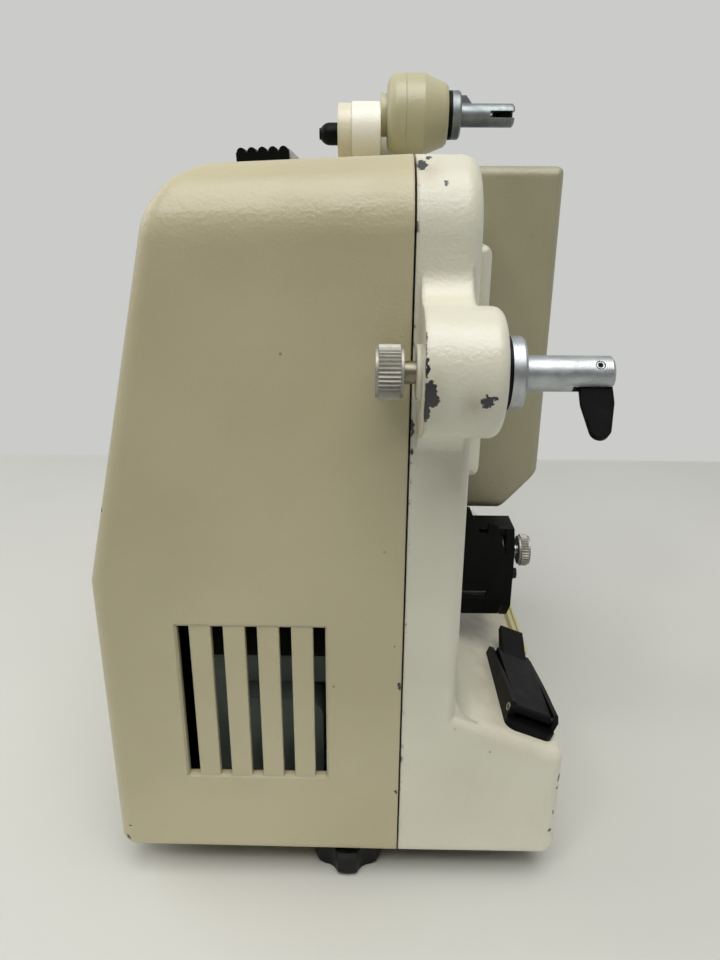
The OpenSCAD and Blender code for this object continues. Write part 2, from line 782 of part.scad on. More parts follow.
// Folding latch: a leaf with a round root and a rounded point, lying square to the spindle
latch_t = latch_slot_w - 2 * gap;
module latch_form() {
    root_r = latch_pin_in - gap;
    mid = root_r - latch_w / 2;
    tip_r = latch_w * 0.32;
    body_l = latch_l * 0.45;
    translate([0, 0, collar_t + spindle_l - latch_pin_in]) rotate([90, 0, 0])
        translate([0, 0, -latch_t / 2]) linear_extrude(latch_t) difference() {
            union() {
                circle(root_r);
                translate([0, mid - latch_w / 2]) square([body_l, latch_w]);
                polygon(belt_path([body_l, mid], latch_w / 2, [latch_l - tip_r, mid], tip_r));
            }
            circle(latch_pin_d / 2 + fit);
        }
}

module latch_pin_form() {
    translate([0, 0, collar_t + spindle_l - latch_pin_in]) rotate([90, 0, 0])
        cylinder(d = latch_pin_d, h = spindle_d - 0.6, center = true);
}

// Take-up side: the latch hangs down
module at_take_up() {
    along_x([take_collar_x, -take_y, take_z]) rotate([0, 0, -take_turn]) children();
}

clutch_x1 = boss_x0 - clutch_gap;
take_tail = take_collar_x - clutch_x1 + clutch_t - 1;
module take_up_spindle() {
    color("#b4b6b6") at_take_up() spindle_form(take_tail);
}

module take_up_latch() {
    color("#1c1c1e") at_take_up() latch_form();
}

module take_up_pin() {
    color("#6f7070") at_take_up() latch_pin_form();
}

module clutch_knob() {
    color("#c3c3bf") along_x([clutch_x1 - clutch_t, -take_y, take_z]) difference() {
        knurled_disc(clutch_d, clutch_t, 40, 0.45);
        translate([0, 0, 1]) cylinder(d = shaft_d + 2 * fit, h = clutch_t);
    }
}

bush_flange_t = 1.2;
module take_up_bush() {
    color("#222222") along_x([boss_x0 - bush_flange_t, -take_y, take_z]) difference() {
        union() {
            cylinder(r = bush_r + 1.6, h = bush_flange_t);
            cylinder(r = bush_r - fit, h = take_room_x0 - boss_x0 + bush_flange_t);
        }
        translate([0, 0, -over]) cylinder(d = shaft_d + 2 * fit, h = 20);
    }
}

pulley_w = 5;
module take_up_pulley() {
    color("#2b2b2b") along_x([take_belt_x - pulley_w / 2, -take_y, take_z])
        pulley(take_pulley_r, pulley_w, shaft_d / 2 + fit);
}

module take_up_belt() {
    color("#20201f") side_plate(take_belt_x - belt_w / 2, take_belt_x + belt_w / 2)
        belt_loop([cross_y, cross_z], cross_pulley_r, [-take_y, take_z], take_pulley_r);
}

// Feed arm, folded back along the top

module arm_outline(inset) {
    length = arm_pivot_y - feed_y - 1;
    translate([feed_y + 1, arm_z]) round_bar(length, arm_h - 2 * inset);
}

button_z = arm_z - 0.9;
button_y = feed_y + 1;
module feed_arm() {
    color("#e2decf") difference() {
        side_plate(arm_left_x, -arm_x) arm_outline(0);
        along_x([arm_left_x - over, arm_pivot_y, arm_z])
            cylinder(d = arm_pivot_d + 2 * fit, h = arm_t + 2 * over);
        along_x([arm_left_x - over, arm_pivot_y, arm_z])
            cylinder(d = arm_pivot_d + 4 + 2 * gap, h = pivot_head_t + 2 * gap + over);
        along_x([arm_left_x + 2, feed_y, feed_z]) cylinder(d = shaft_d + 2 * fit, h = arm_t);
        along_x([arm_left_x - over, button_y, button_z])
            cylinder(d = button_stem_d + 2 * fit, h = button_room + over);
    }
}

module feed_arm_plate() {
    inset = 0.6;
    color("#b9b296") difference() {
        side_plate(arm_left_x - arm_plate_t, arm_left_x) arm_outline(inset);
        along_x([arm_left_x - arm_plate_t - over, button_y, button_z])
            cylinder(d = button_d + 2 * fit, h = arm_plate_t + 2 * over);
    }
}

pivot_head_t = 2;
module arm_pivot() {
    color("#9a9c9c") along_x([arm_left_x + gap, arm_pivot_y, arm_z]) {
        cylinder(d = arm_pivot_d, h = inner_w - arm_left_x - gap - 2 - over);
        cylinder(d = arm_pivot_d + 4, h = pivot_head_t);
    }
}

// Dome button that frees the arm; its stem runs in the plate and the arm
button_stem_d = 4;
button_room = 5;
module arm_button() {
    dome_r = button_d / 2;
    stem_l = arm_plate_t + button_room - button_travel - gap;
    color("#1f2124") along_x([arm_left_x - arm_plate_t - button_l, button_y, button_z]) {
        rotate_extrude() {
            translate([0, dome_r]) square([dome_r, button_l + arm_plate_t - button_travel - gap - dome_r]);
            intersection() {
                translate([0, dome_r]) circle(dome_r);
                square([dome_r, dome_r]);
            }
        }
        cylinder(d = button_stem_d, h = button_l + stem_l);
    }
}

module bell_back() {
    color("#aaa488") along_x([-arm_x, feed_y, feed_z]) difference() {
        union() {
            cylinder(r = bell_flange_r, h = bell_flange_t + over);
            rotate_extrude() {
                translate([0, bell_flange_t]) square([bell_r - bell_back_r, bell_seam_x + arm_x - bell_flange_t]);
                translate([0, bell_flange_t + bell_back_r])
                    square([bell_r, bell_seam_x + arm_x - bell_flange_t - bell_back_r]);
                intersection() {
                    translate([bell_r - bell_back_r, bell_flange_t + bell_back_r]) circle(bell_back_r);
                    square([bell_r, bell_seam_x + arm_x]);
                }
            }
        }
        translate([0, 0, -over]) cylinder(d = shaft_d + 2 * fit, h = bell_seam_x + arm_x + 2 * over);
    }
}

module bell_front() {
    round = 1;
    cone_x = bell_cone_x - bell_seam_x;
    front_x = bell_front_x - bell_seam_x;
    color("#a59f83") along_x([bell_seam_x, feed_y, feed_z]) rotate_extrude() polygon([
        [shaft_d / 2 + fit, 0], [bell_r, 0], [bell_r, cone_x], [bell_front_r, front_x - round],
        [bell_front_r - round, front_x], [shaft_d / 2 + fit, front_x]
    ]);
}

// Feed side: the latch points forwards
module at_feed() {
    along_x([feed_collar_x, feed_y, feed_z]) rotate([0, 0, 90]) children();
}

feed_tail = feed_collar_x - arm_left_x - 2 - gap;
module feed_spindle() {
    color("#b4b6b6") at_feed() spindle_form(feed_tail);
}

module feed_latch() {
    color("#1c1c1e") at_feed() latch_form();
}

module feed_pin() {
    color("#6f7070") at_feed() latch_pin_form();
}

// Control slide on the cover's top

slide_stem_l = 6;
slide_stem_u = slide_l - slide_stem_l / 2 - 1;
module control_slide() {
    pitch = slide_l / slide_ribs;
    rib_r = pitch * 0.42;
    color("#1e1f20") on_cover_top(slide_x, slide_y) {
        translate([0, -slide_w / 2, gap]) cube([slide_l, slide_w, slide_h - 2 * rib_r - gap]);
        for (i = [0 : slide_ribs - 1])
            translate([pitch * (i + 0.5), 0, slide_h - 2 * rib_r]) rotate([90, 0, 0]) {
                cylinder(r = rib_r, h = slide_w, center = true);
                translate([-rib_r, 0, -slide_w / 2]) linear_extrude(slide_w)
                    translate([0, -rib_r]) square([2 * rib_r, rib_r]);
            }
        translate([slide_stem_u - slide_stem_l / 2, -slide_slot_w / 2 + gap, -3 * cover_wall])
            cube([slide_stem_l, slide_slot_w - 2 * gap, 4 * cover_wall]);
    }
}

module slide_pointer() {
    nose_h = slide_h * 0.78;
    color("#b4b6b4") on_cover_top(slide_x, slide_y)
        translate([slide_l, slide_w / 2 - 1, 0]) rotate([90, 0, 0]) linear_extrude(slide_w - 2) polygon([
            [0, gap], [pointer_l, gap], [pointer_l, nose_h * 0.3], [0, nose_h]
        ]);
}

// Film path

sprocket_x0 = 22.5;
guide_cheek_t = 2.6;
sprocket_x1 = guide_x - guide_cheek_t - gap;
knob_x = guide_x + 2.6;
module sprocket_shaft() {
    color("#c9cac8") along_x([plate_x + plate_t + gap, sprocket_y, sprocket_z])
        cylinder(d = sprocket_shaft_d, h = knob_x + knob_t / 2 - plate_x - plate_t - gap);
    color("#3a3a3a") along_x([sprocket_belt_x - 1.7, sprocket_y, sprocket_z])
        pulley(sprocket_pulley_r, 3.4, sprocket_shaft_d / 2 - 0.1);
}

// Film sprocket: two rims, a film seat and one row of teeth
module sprocket() {
    seat_w = sprocket_x1 - sprocket_x0;
    tooth_h = 1.1;
    color("#e9e6da") along_x([sprocket_x0, sprocket_y, sprocket_z]) difference() {
        union() {
            cylinder(r = sprocket_r, h = seat_w);
            cylinder(r = sprocket_r + 1, h = 1.6);
            translate([0, 0, seat_w - 1.6]) cylinder(r = sprocket_r + 1, h = 1.6);
            for (i = [0 : sprocket_teeth - 1])
                rotate(360 * i / sprocket_teeth) translate([sprocket_r - 0.5, -0.6, 2.4])
                    cube([tooth_h + 0.5, 1.2, 1]);
        }
        translate([0, 0, -over]) cylinder(d = sprocket_shaft_d + 2 * fit, h = seat_w + 2 * over);
    }
}

module sprocket_knob() {
    color("#c3c3bf") along_x([knob_x, sprocket_y, sprocket_z]) difference() {
        knurled_disc(knob_d, knob_t, 36, 0.4);
        translate([0, 0, -over]) cylinder(d = sprocket_shaft_d + 2 * fit, h = knob_t / 2 + over + fit);
    }
}

module sprocket_belt() {
    color("#20201f") side_plate(sprocket_belt_x - belt_w / 2, sprocket_belt_x + belt_w / 2)
        belt_loop([cross_y, cross_z], cross_pulley_r, [sprocket_y, sprocket_z], sprocket_pulley_r);
}

// Black film guide: back plate on the wall, shoe round the sprocket, outer cheek with its thumb tab
guide_back_t = 4;
guide_rear_t = 1.8;
guide_slot_h = 3;
shoe_gap = 2.2;
shoe_t = 2.4;
guide_z0 = 55;
bridge_z = sprocket_z + sprocket_r + 1.6;
bridge_t = 2.4;
module guide_cheek_outline() {
    polygon([
        [sprocket_y - 9, guide_z0 + 6], [sprocket_y - 4, guide_z0], [sprocket_y + 12, guide_z0],
        [sprocket_y + 16, guide_z0 + 8], [sprocket_y + 16, sprocket_z + 4], [sprocket_y + 5, bridge_z + bridge_t],
        [sprocket_y - 6, bridge_z + bridge_t], [sprocket_y - 9, sprocket_z + 4]
    ]);
}

module film_guide() {
    shoe_r = sprocket_r + shoe_gap;
    color("#1a1b1c") difference() {
        union() {
            side_plate(frame_w, frame_w + guide_back_t) union() {
                guide_cheek_outline();
                translate([sprocket_y - 4, sprocket_z]) square([16, lamp_z0 - gap - sprocket_z]);
            }
            side_plate(guide_x - guide_cheek_t, guide_x) guide_cheek_outline();
            // shoe that keeps the film on the lower half of the sprocket
            side_plate(frame_w, guide_x) intersection() {
                translate([sprocket_y, sprocket_z]) difference() {
                    circle(shoe_r + shoe_t);
                    circle(shoe_r);
                }
                translate([sprocket_y - 9, sprocket_z - 14]) square([25, 9]);
            }
            // rear plate with its film slot, bevelled corner, thumb tab and horn
            cross_plate(sprocket_y - 9, sprocket_y - 9 + guide_rear_t) difference() {
                polygon([
                    [frame_w, guide_z0 + 3], [guide_x - 4, guide_z0 + 3], [guide_x, sprocket_z - 7],
                    [guide_x, sprocket_z + 1], [guide_x - 2.6, sprocket_z + 2], [guide_x - 6, sprocket_z + 12.6],
                    [guide_x - 8.7, sprocket_z + 12.6], [guide_x - 9, sprocket_z + 9.4],
                    [guide_x - 11.3, sprocket_z + 9.4], [guide_x - 15, sprocket_z + 18], [frame_w, sprocket_z + 18]
                ]);
                translate([frame_w + guide_back_t, guide_z0 + 8.8])
                    square([guide_x - 8 - frame_w - guide_back_t, guide_slot_h]);
            }
            // bridge over the sprocket
            side_plate(frame_w, guide_x) translate([sprocket_y - 6, bridge_z])
                square([11, bridge_t]);
            // lower film rest
            side_plate(frame_w, guide_x) translate([sprocket_y + 8, guide_z0]) square([3, 5]);
        }
        along_x([frame_w - over, sprocket_y, sprocket_z])
            cylinder(d = sprocket_shaft_d + 2 * fit, h = guide_x - frame_w + 2 * over);
        along_x([frame_w + 1, roller_y, roller_z]) cylinder(d = roller_pin_d + 2 * fit, h = guide_x);
    }
}

roller_y = 50;
roller_z = 60;
roller_r = 2.2;
roller_pin_d = 2;
module guide_roller() {
    x0 = frame_w + guide_back_t + gap;
    x1 = guide_x - guide_cheek_t - gap;
    color("#e6dcc0") along_x([frame_w + 1 + gap, roller_y, roller_z]) {
        cylinder(d = roller_pin_d, h = guide_x - frame_w - 1 - gap);
        translate([0, 0, x0 - frame_w - 1 - gap]) cylinder(r = roller_r, h = x1 - x0);
    }
}

// Film cutter on the toe

cutter_floor = 2;
cutter_side = 1.6;
cutter_nose_r = 3;
cutter_pin_z = 3.8;
cutter_pin_y = cutter_y + 5;
cutter_pin_d = 2.4;
module cutter_base() {
    color("#191a1b") on_toe() difference() {
        translate([cutter_u - cutter_w / 2, cutter_y, 0]) union() {
            linear_extrude(cutter_floor) difference() {
                round_box([0, 0], [cutter_w, cutter_l + cutter_nose_r], cutter_nose_r);
                translate([-over, cutter_l]) square([cutter_w + 2 * over, 2 * cutter_nose_r]);
            }
            for (u = [0, cutter_w - cutter_side])
                translate([u, 0, 0]) rotate([90, 0, 90]) linear_extrude(cutter_side) difference() {
                    polygon([[cutter_nose_r, 0], [cutter_l, 0], [cutter_l, cutter_floor + 0.8],
                        [cutter_l * 0.55, cutter_h * 0.8], [cutter_pin_y - cutter_y, cutter_h],
                        [cutter_nose_r, cutter_h - 1]]);
                }
        }
        translate([cutter_u - cutter_w, cutter_pin_y, cutter_pin_z]) rotate([0, 90, 0])
            cylinder(d = cutter_pin_d + 2 * fit, h = 2 * cutter_w);
    }
}

flap_t = 2.2;
module cutter_flap() {
    w = cutter_w - 2 * cutter_side - 2 * gap;
    z0 = cutter_floor + gap;
    tail = cutter_l - 2;
    color("#202122") on_toe() difference() {
        translate([cutter_u - w / 2, 0, 0]) union() {
            rotate([90, 0, 90]) linear_extrude(w) union() {
                polygon([
                    [cutter_pin_y, z0], [cutter_y + tail, z0], [cutter_y + tail, z0 + flap_t],
                    [cutter_pin_y, cutter_pin_z + 1.5]
                ]);
                translate([cutter_pin_y, cutter_pin_z]) circle(cutter_pin_z - z0);
            }
            // thumb tab, turned up at the far end
            translate([1.5, 0, 0]) rotate([90, 0, 90]) linear_extrude(w - 3) polygon([
                [cutter_y + tail - 3, z0], [cutter_y + tail, z0], [cutter_y + cutter_l + cutter_tab_l, z0 + 3.4],
                [cutter_y + cutter_l + cutter_tab_l, z0 + 5.2], [cutter_y + tail - 3, z0 + flap_t]
            ]);
        }
        translate([cutter_u - cutter_w, cutter_pin_y, cutter_pin_z]) rotate([0, 90, 0])
            cylinder(d = cutter_pin_d + 2 * fit, h = 2 * cutter_w);
    }
}

module cutter_pins() {
    pin_l = 4;
    color("#8c8e8c") on_toe() for (side = [-1, 1])
        translate([cutter_u + side * (cutter_w / 2 - pin_l / 2 + 0.1), cutter_pin_y, cutter_pin_z])
            rotate([0, 90, 0]) difference() {
                cylinder(d = cutter_pin_d, h = pin_l, center = true);
                cylinder(d = 1.2, h = pin_l + over, center = true);
            }
}

strip_y0 = 50;
strip_y1 = 90;
strip_w = 3.4;
strip_h = 2;
module edge_strip() {
    u = (toe_w - frame_w) / cos(toe_slope) - frame_edge_r + strip_w / 6;
    color("#d9cf9a") on_toe() difference() {
        translate([u, strip_y0, 0]) rotate([0, 0, 90]) linear_extrude(strip_h)
            round_bar(strip_y1 - strip_y0, strip_w);
        translate([u, strip_y0, strip_h - 0.8]) rotate([0, 0, 90]) linear_extrude(over)
            round_bar(strip_y1 - strip_y0, strip_w / 2.4);
    }
}

// Lamp house and optics

// Lamp house form with its sloping lower edge, drawn in by an inset, running back into the frame
module lamp_form(inset) {
    back_x = frame_w - 4 * lamp_edge_r;
    difference() {
        round_block(
            [back_x, lamp_y0 + inset, lamp_z0 + inset],
            [lamp_x - inset, lamp_y1 - inset, lamp_z1 - inset],
            lamp_edge_r - inset
        );
        cross_plate(lamp_y0 - over, lamp_y1 + over) translate([lamp_x - inset, lamp_z0 + inset]) polygon([
            [over, -over], [-lamp_bevel_w, -over], [-lamp_bevel_w, 0], [0, lamp_bevel_h], [over, lamp_bevel_h]
        ]);
    }
}

light_hole_r = 9;
module lamp_cover() {
    color("#7e7962") difference() {
        lamp_form(0);
        lamp_form(lamp_wall);
        // open towards the frame
        translate([-over, lamp_y0 - over, lamp_z0 - over])
            cube([frame_w + gap + over, lamp_y1 - lamp_y0 + 2 * over, lamp_z1 - lamp_z0 + 2 * over]);
        along_y([optic_x, lamp_y1 - 3 * lamp_wall, optic_z]) cylinder(r = light_hole_r, h = 6 * lamp_wall);
        // cooling slots in the roof
        for (i = [0 : 4])
            translate([frame_w + 8, lamp_y0 + 10 + i * 8, lamp_z1 - 2 * lamp_wall])
                cube([lamp_x - frame_w - 16, 3, 4 * lamp_wall]);
    }
}

lamp_yc = 80;
socket_r = 8;
socket_z0 = 104;
socket_z1 = 116;
module lamp_socket() {
    color("#d8d4c8") difference() {
        union() {
            translate([optic_x, lamp_yc, socket_z0]) cylinder(r = socket_r, h = socket_z1 - socket_z0);
            translate([frame_w, lamp_yc - 5, socket_z0]) cube([optic_x - frame_w, 10, 4]);
            translate([frame_w, lamp_yc - 7, socket_z0]) cube([2, 14, 14]);
        }
        translate([optic_x, lamp_yc, socket_z0 + 4]) cylinder(r = bulb_base_r + fit, h = socket_z1);
    }
}

bulb_base_r = 6;
bulb_r = 8.5;
module lamp_bulb() {
    z0 = socket_z0 + 4;
    color([0.9, 0.92, 0.92, 0.5]) translate([optic_x, lamp_yc, z0]) {
        cylinder(r = bulb_base_r, h = socket_z1 - z0 + 4);
        translate([0, 0, socket_z1 - z0 + 3]) rotate_extrude() {
            square([bulb_base_r, 4]);
            polygon([[0, 3], [bulb_base_r, 3], [bulb_r, 8], [bulb_r, optic_z - socket_z1 + 4], [0, optic_z - socket_z1 + 4]]);
            translate([0, optic_z - socket_z1 + 4]) intersection() {
                circle(bulb_r);
                square([bulb_r, bulb_r]);
            }
        }
    }
}

reflector_r = 11;
module reflector() {
    dish_r = 24;
    y0 = 62;
    t = 1.2;
    color("#d5d8d8") {
        along_y([optic_x, y0, optic_z]) rotate_extrude() intersection() {
            translate([0, dish_r]) difference() {
                circle(dish_r);
                circle(dish_r - t);
            }
            square([reflector_r, dish_r / 2]);
        }
        translate([frame_w, y0 + 1.5, optic_z - 4]) cube([optic_x - frame_w - reflector_r + 1.2, 1.2, 8]);
    }
}

holder_y0 = 96;
holder_y1 = 106;
condenser_r = 10.5;
module condenser_holder() {
    color("#4a4b4b") difference() {
        cross_plate(holder_y0, holder_y1) difference() {
            union() {
                translate([optic_x, optic_z]) circle(condenser_r + 2);
                translate([frame_w, optic_z - 8]) square([optic_x - frame_w, 16]);
            }
            translate([optic_x, optic_z]) circle(condenser_r - 1);
        }
        along_y([optic_x, holder_y0 + 2, optic_z]) cylinder(r = condenser_r + fit, h = 20);
    }
}

module condenser_lens() {
    crown_r = 18;
    t = 7;
    color([0.85, 0.92, 0.92, 0.5]) along_y([optic_x, holder_y0 + 2, optic_z]) intersection() {
        cylinder(r = condenser_r, h = t);
        translate([0, 0, t - crown_r]) sphere(crown_r);
    }
}

gate_t = 3;
gate_z0 = 108;
gate_z1 = 172;
gate_w = 16;
film_gap = 0.4;
aperture_w = 4.6;
aperture_h = 3.4;
claw_tooth_x = optic_x - 3.3;
module film_gate() {
    color("#6b6d6d") difference() {
        union() {
            translate([optic_x - gate_w / 2, gate_y, gate_z0]) cube([gate_w, gate_t, gate_z1 - gate_z0]);
            translate([frame_w, gate_y, optic_z - 26]) cube([optic_x - frame_w, gate_t, 14]);
            translate([frame_w, gate_y, optic_z + 14]) cube([optic_x - frame_w, gate_t, 14]);
        }
        translate([optic_x - aperture_w / 2, gate_y - over, optic_z - aperture_h / 2])
            cube([aperture_w, gate_t + 2 * over, aperture_h]);
        translate([claw_tooth_x - 1.2, gate_y - over, optic_z - 14]) cube([1.9, gate_t + 2 * over, 10]);
    }
}

mount_y0 = 130;
mount_y1 = 158;
mount_wall = 5;
plate_pin_d = 2.4;
plate_pin_z = lens_d / 2 + mount_wall / 2;
pressure_t = 1.6;
module pressure_plate() {
    y0 = gate_y + gate_t + film_gap;
    color("#9b9d9c") difference() {
        union() {
            translate([optic_x - 5, y0, optic_z - 22]) cube([10, pressure_t, 44]);
            for (z = [optic_z - plate_pin_z, optic_z + plate_pin_z])
                along_y([optic_x, y0, z]) cylinder(d = plate_pin_d, h = mount_y0 + 4 - y0);
        }
        translate([optic_x - 3, y0 - over, optic_z - 14.5]) cube([6, pressure_t + 2 * over, 18]);
    }
}

module lens_mount() {
    color("#38393a") difference() {
        cross_plate(mount_y0, mount_y1) union() {
            translate([optic_x, optic_z]) circle(lens_d / 2 + mount_wall);
            translate([frame_w, optic_z - lens_d / 2 - 4]) square([optic_x - frame_w, lens_d + 8]);
        }
        along_y([optic_x, mount_y0 - over, optic_z])
            cylinder(d = lens_d + 2 * fit, h = mount_y1 - mount_y0 + 2 * over);
        for (z = [optic_z - plate_pin_z, optic_z + plate_pin_z])
            along_y([optic_x, mount_y0 - over, z]) cylinder(d = plate_pin_d + 2 * fit, h = 6);
        // the round of the mount stops at the frame
        translate([frame_w - 20, mount_y0 - over, optic_z - 40]) cube([20, mount_y1 - mount_y0 + 2 * over, 80]);
    }
}

lens_back_y = 136;
ring_y0 = 166;
glass_r = 9;
module lens_barrel() {
    color("#2a2b2d") along_y([optic_x, lens_back_y, optic_z]) difference() {
        union() {
            cylinder(d = lens_d, h = lens_front_y - lens_back_y - 2);
            translate([0, 0, ring_y0 - lens_back_y]) linear_extrude(lens_front_y - ring_y0 - 4)
                fluted_circle(lens_ring_d / 2, 48, 0.5);
            translate([0, 0, lens_front_y - lens_back_y - 5]) cylinder(d = lens_ring_d - 1.6, h = 5);
        }
        translate([0, 0, -over]) cylinder(r = glass_r - 1.5, h = lens_front_y);
        translate([0, 0, -over]) cylinder(r = glass_r + fit, h = 5 + over);
        translate([0, 0, lens_front_y - lens_back_y - 9]) cylinder(r = glass_r + fit, h = 20);
        translate([0, 0, lens_front_y - lens_back_y - 4]) cylinder(r1 = glass_r, r2 = glass_r + 2.6, h = 4.01);
    }
}

module lens_glass() {
    crown_r = 16;
    color([0.62, 0.7, 0.78, 0.5]) {
        along_y([optic_x, lens_front_y - 9, optic_z]) intersection() {
            cylinder(r = glass_r, h = 5);
            translate([0, 0, 5 - crown_r]) sphere(crown_r);
        }
        along_y([optic_x, lens_back_y + 5, optic_z]) mirror([0, 0, 1]) intersection() {
            cylinder(r = glass_r, h = 4.5);
            translate([0, 0, 4.5 - crown_r]) sphere(crown_r);
        }
    }
}

// Drive

motor_front = motor_y + motor_l;
bracket_t = 3;
module motor_case() {
    color("#7b7d7c") along_y([-motor_x, motor_y, motor_z]) difference() {
        rotate_extrude() polygon([
            [shaft_d / 2 + fit, 0], [motor_r * 0.45, 0], [motor_r * 0.5, 3], [motor_r - 2, 3], [motor_r, 5],
            [motor_r, motor_l - 2], [motor_r - 2, motor_l], [shaft_d / 2 + fit, motor_l]
        ]);
        for (i = [0 : 7])
            rotate(45 * i + 22.5) translate([motor_r - 3, -2.5, 10]) cube([6, 5, 14]);
    }
}

// Brackets on the chassis plate: motor and rear bearing, front bearing, and the claw's pin
bearing_r = 6;
bearing_t = 5;
claw_pin_x = 20;
claw_pin_d = 3;
claw_block_y = window_y1 + 0.8;
module drive_bracket() {
    front_y0 = shutter_y - 11;
    color("#a2a4a2") {
        difference() {
            union() {
                cross_plate(motor_front, motor_front + bracket_t) {
                    translate([-motor_x, motor_z]) circle(14);
                    translate([-motor_x, motor_z - 10]) square([motor_x + plate_x, 24]);
                }
                for (y = [motor_front, front_y0])
                    cross_plate(y, y + bearing_t) {
                        translate([-main_x, optic_z]) circle(bearing_r);
                        translate([-main_x, optic_z - bearing_r]) square([main_x + plate_x, 2 * bearing_r]);
                    }
            }
            along_y([-main_x, motor_front - over, optic_z])
                cylinder(r = shaft_d / 2 + fit, h = front_y0 + bearing_t - motor_front + 2 * over);
            along_y([-motor_x, motor_front - over, motor_z])
                cylinder(r = shaft_d / 2 + fit, h = bracket_t + 2 * over);
        }
        translate([-claw_pin_x - 4, claw_block_y, optic_z - 4]) cube([claw_pin_x + 4 + plate_x, 5, 8]);
        along_y([-claw_pin_x, claw_y, optic_z]) cylinder(d = claw_pin_d, h = claw_block_y - claw_y + over);
    }
}

module motor_shaft() {
    color("#b9bbba") {
        along_y([-motor_x, motor_y - 16, motor_z]) cylinder(d = shaft_d, h = motor_belt_y + 6 - motor_y + 16);
        along_y([-motor_x, motor_belt_y - 2.5, motor_z]) pulley(motor_pulley_r, 5, shaft_d / 2 - 0.1);
    }
}

// Blower on the rear end of the motor shaft
fan_r = 20;
fan_blades = 8;
module cooling_fan() {
    fan_l = 9;
    y0 = motor_y - 13;
    color("#4c4d4d") along_y([-motor_x, y0, motor_z]) difference() {
        union() {
            cylinder(r = 6, h = fan_l);
            cylinder(r = fan_r, h = 1.2);
            for (i = [0 : fan_blades - 1])
                rotate(360 * i / fan_blades) translate([4, -0.6, 0]) cube([fan_r - 5, 1.2, fan_l]);
        }
        translate([0, 0, -over]) cylinder(r = shaft_d / 2 + fit, h = fan_l + 2 * over);
    }
}

module motor_belt() {
    color("#20201f") cross_plate(motor_belt_y - belt_w / 2, motor_belt_y + belt_w / 2)
        belt_loop([-motor_x, motor_z], motor_pulley_r, [-main_x, optic_z], main_pulley_r);
}

// Main shaft with its pulley, worm and claw cam
cam_r = 5;
cam_throw = 0.5;
module main_shaft() {
    y0 = motor_front - 2;
    worm_l = 11;
    color("#b9bbba") {
        along_y([-main_x, y0, optic_z]) cylinder(d = shaft_d, h = claw_y + 3 - y0);
        along_y([-main_x, motor_belt_y - 2.5, optic_z]) pulley(main_pulley_r, 5, shaft_d / 2 - 0.1);
        along_y([-main_x, cross_y - worm_l / 2, optic_z]) difference() {
            cylinder(r = worm_r, h = worm_l);
            for (i = [0 : 3])
                translate([0, 0, 1.5 + i * 2.4]) ring(worm_r + over, worm_r - 1, 0.9);
        }
        along_y([-main_x + cam_throw, claw_y, optic_z]) cylinder(r = cam_r, h = 2.4);
    }
}

// Two-bladed shutter
module shutter() {
    blade_angle = 70;
    color("#2c2d2d") along_y([-main_x, shutter_y, optic_z]) difference() {
        union() {
            cylinder(r = 9, h = 1.2);
            for (turn = [0, 180])
                rotate(turn) linear_extrude(1.2) intersection() {
                    circle(shutter_r);
                    polygon([
                        [0, 0], shutter_r * 2 * [cos(blade_angle), -sin(blade_angle)],
                        [shutter_r * 3, 0], shutter_r * 2 * [cos(blade_angle), sin(blade_angle)]
                    ]);
                }
        }
        translate([0, 0, -over]) cylinder(d = shaft_d + 2 * fit, h = 4);
    }
}

// Claw lever: rocks on its pin beside the main shaft and carries one tooth at the gate
claw_rim = 3;
module claw() {
    fork = cam_r + cam_throw + 0.9;
    low_z = optic_z - fork - claw_rim;
    color("#8a8c8b") {
        cross_plate(claw_y + claw_lift, claw_y + claw_lift + claw_t) difference() {
            union() {
                translate([-claw_pin_x, optic_z]) circle(4);
                translate([-claw_pin_x, optic_z - 4]) square([claw_pin_x - main_x, 8]);
                translate([-main_x, optic_z]) circle(fork + claw_rim);
                translate([-main_x, low_z]) square([claw_tooth_x + main_x, 5]);
            }
            translate([-main_x, optic_z]) circle(fork);
            translate([-claw_pin_x, optic_z]) circle(claw_pin_d / 2 + fit);
        }
        translate([claw_tooth_x - 0.6, claw_y + claw_lift, low_z]) cube([0.8, 5, 1.2]);
    }
}

module cross_shaft() {
    x0 = -main_x - 5;
    color("#b9bbba") {
        along_x([x0, cross_y, cross_z]) cylinder(d = shaft_d, h = inner_w + frame_wall / 2 - gap - x0);
        along_x([sprocket_belt_x - 1.7, cross_y, cross_z]) pulley(cross_pulley_r, 3.4, shaft_d / 2 - 0.1);
        along_x([take_belt_x - 1.7, cross_y, cross_z]) pulley(cross_pulley_r, 3.4, shaft_d / 2 - 0.1);
    }
}

module worm_wheel() {
    w = 5;
    color("#c9a35a") along_x([-main_x - w / 2, cross_y, cross_z]) difference() {
        linear_extrude(w) fluted_circle(worm_wheel_r, worm_wheel_teeth, 1.1);
        translate([0, 0, -over]) cylinder(d = shaft_d + 2 * fit, h = w + 2 * over);
    }
}

transformer_x = 36;
core_w = 44;
core_d = 26;
core_h = 52;
core_y = 18;
module transformer_core() {
    color("#55585a") difference() {
        translate([-transformer_x - core_w / 2, core_y, base_top]) cube([core_w, core_d, core_h]);
        translate([-transformer_x - core_w / 2 + 8, core_y - over, base_top + 9])
            cube([core_w - 16, core_d + 2 * over, core_h - 18]);
    }
}

module transformer_winding() {
    bulge = 8;
    w = core_w - 16 - 2 * gap;
    h = core_h - 18 - 2 * gap;
    r = 6;
    color("#b7babb") translate([-transformer_x, core_y - bulge, base_top + core_h / 2])
        rotate([-90, 0, 0]) linear_extrude(core_d + 2 * bulge) {
            square([w - 2 * r, h], center = true);
            square([w, h - 2 * r], center = true);
            for (sx = [-1, 1])
                for (sz = [-1, 1])
                    translate([sx * (w / 2 - r), sz * (h / 2 - r)]) circle(r);
        }
}

module placed() {
    translate(to_origin) children();
}

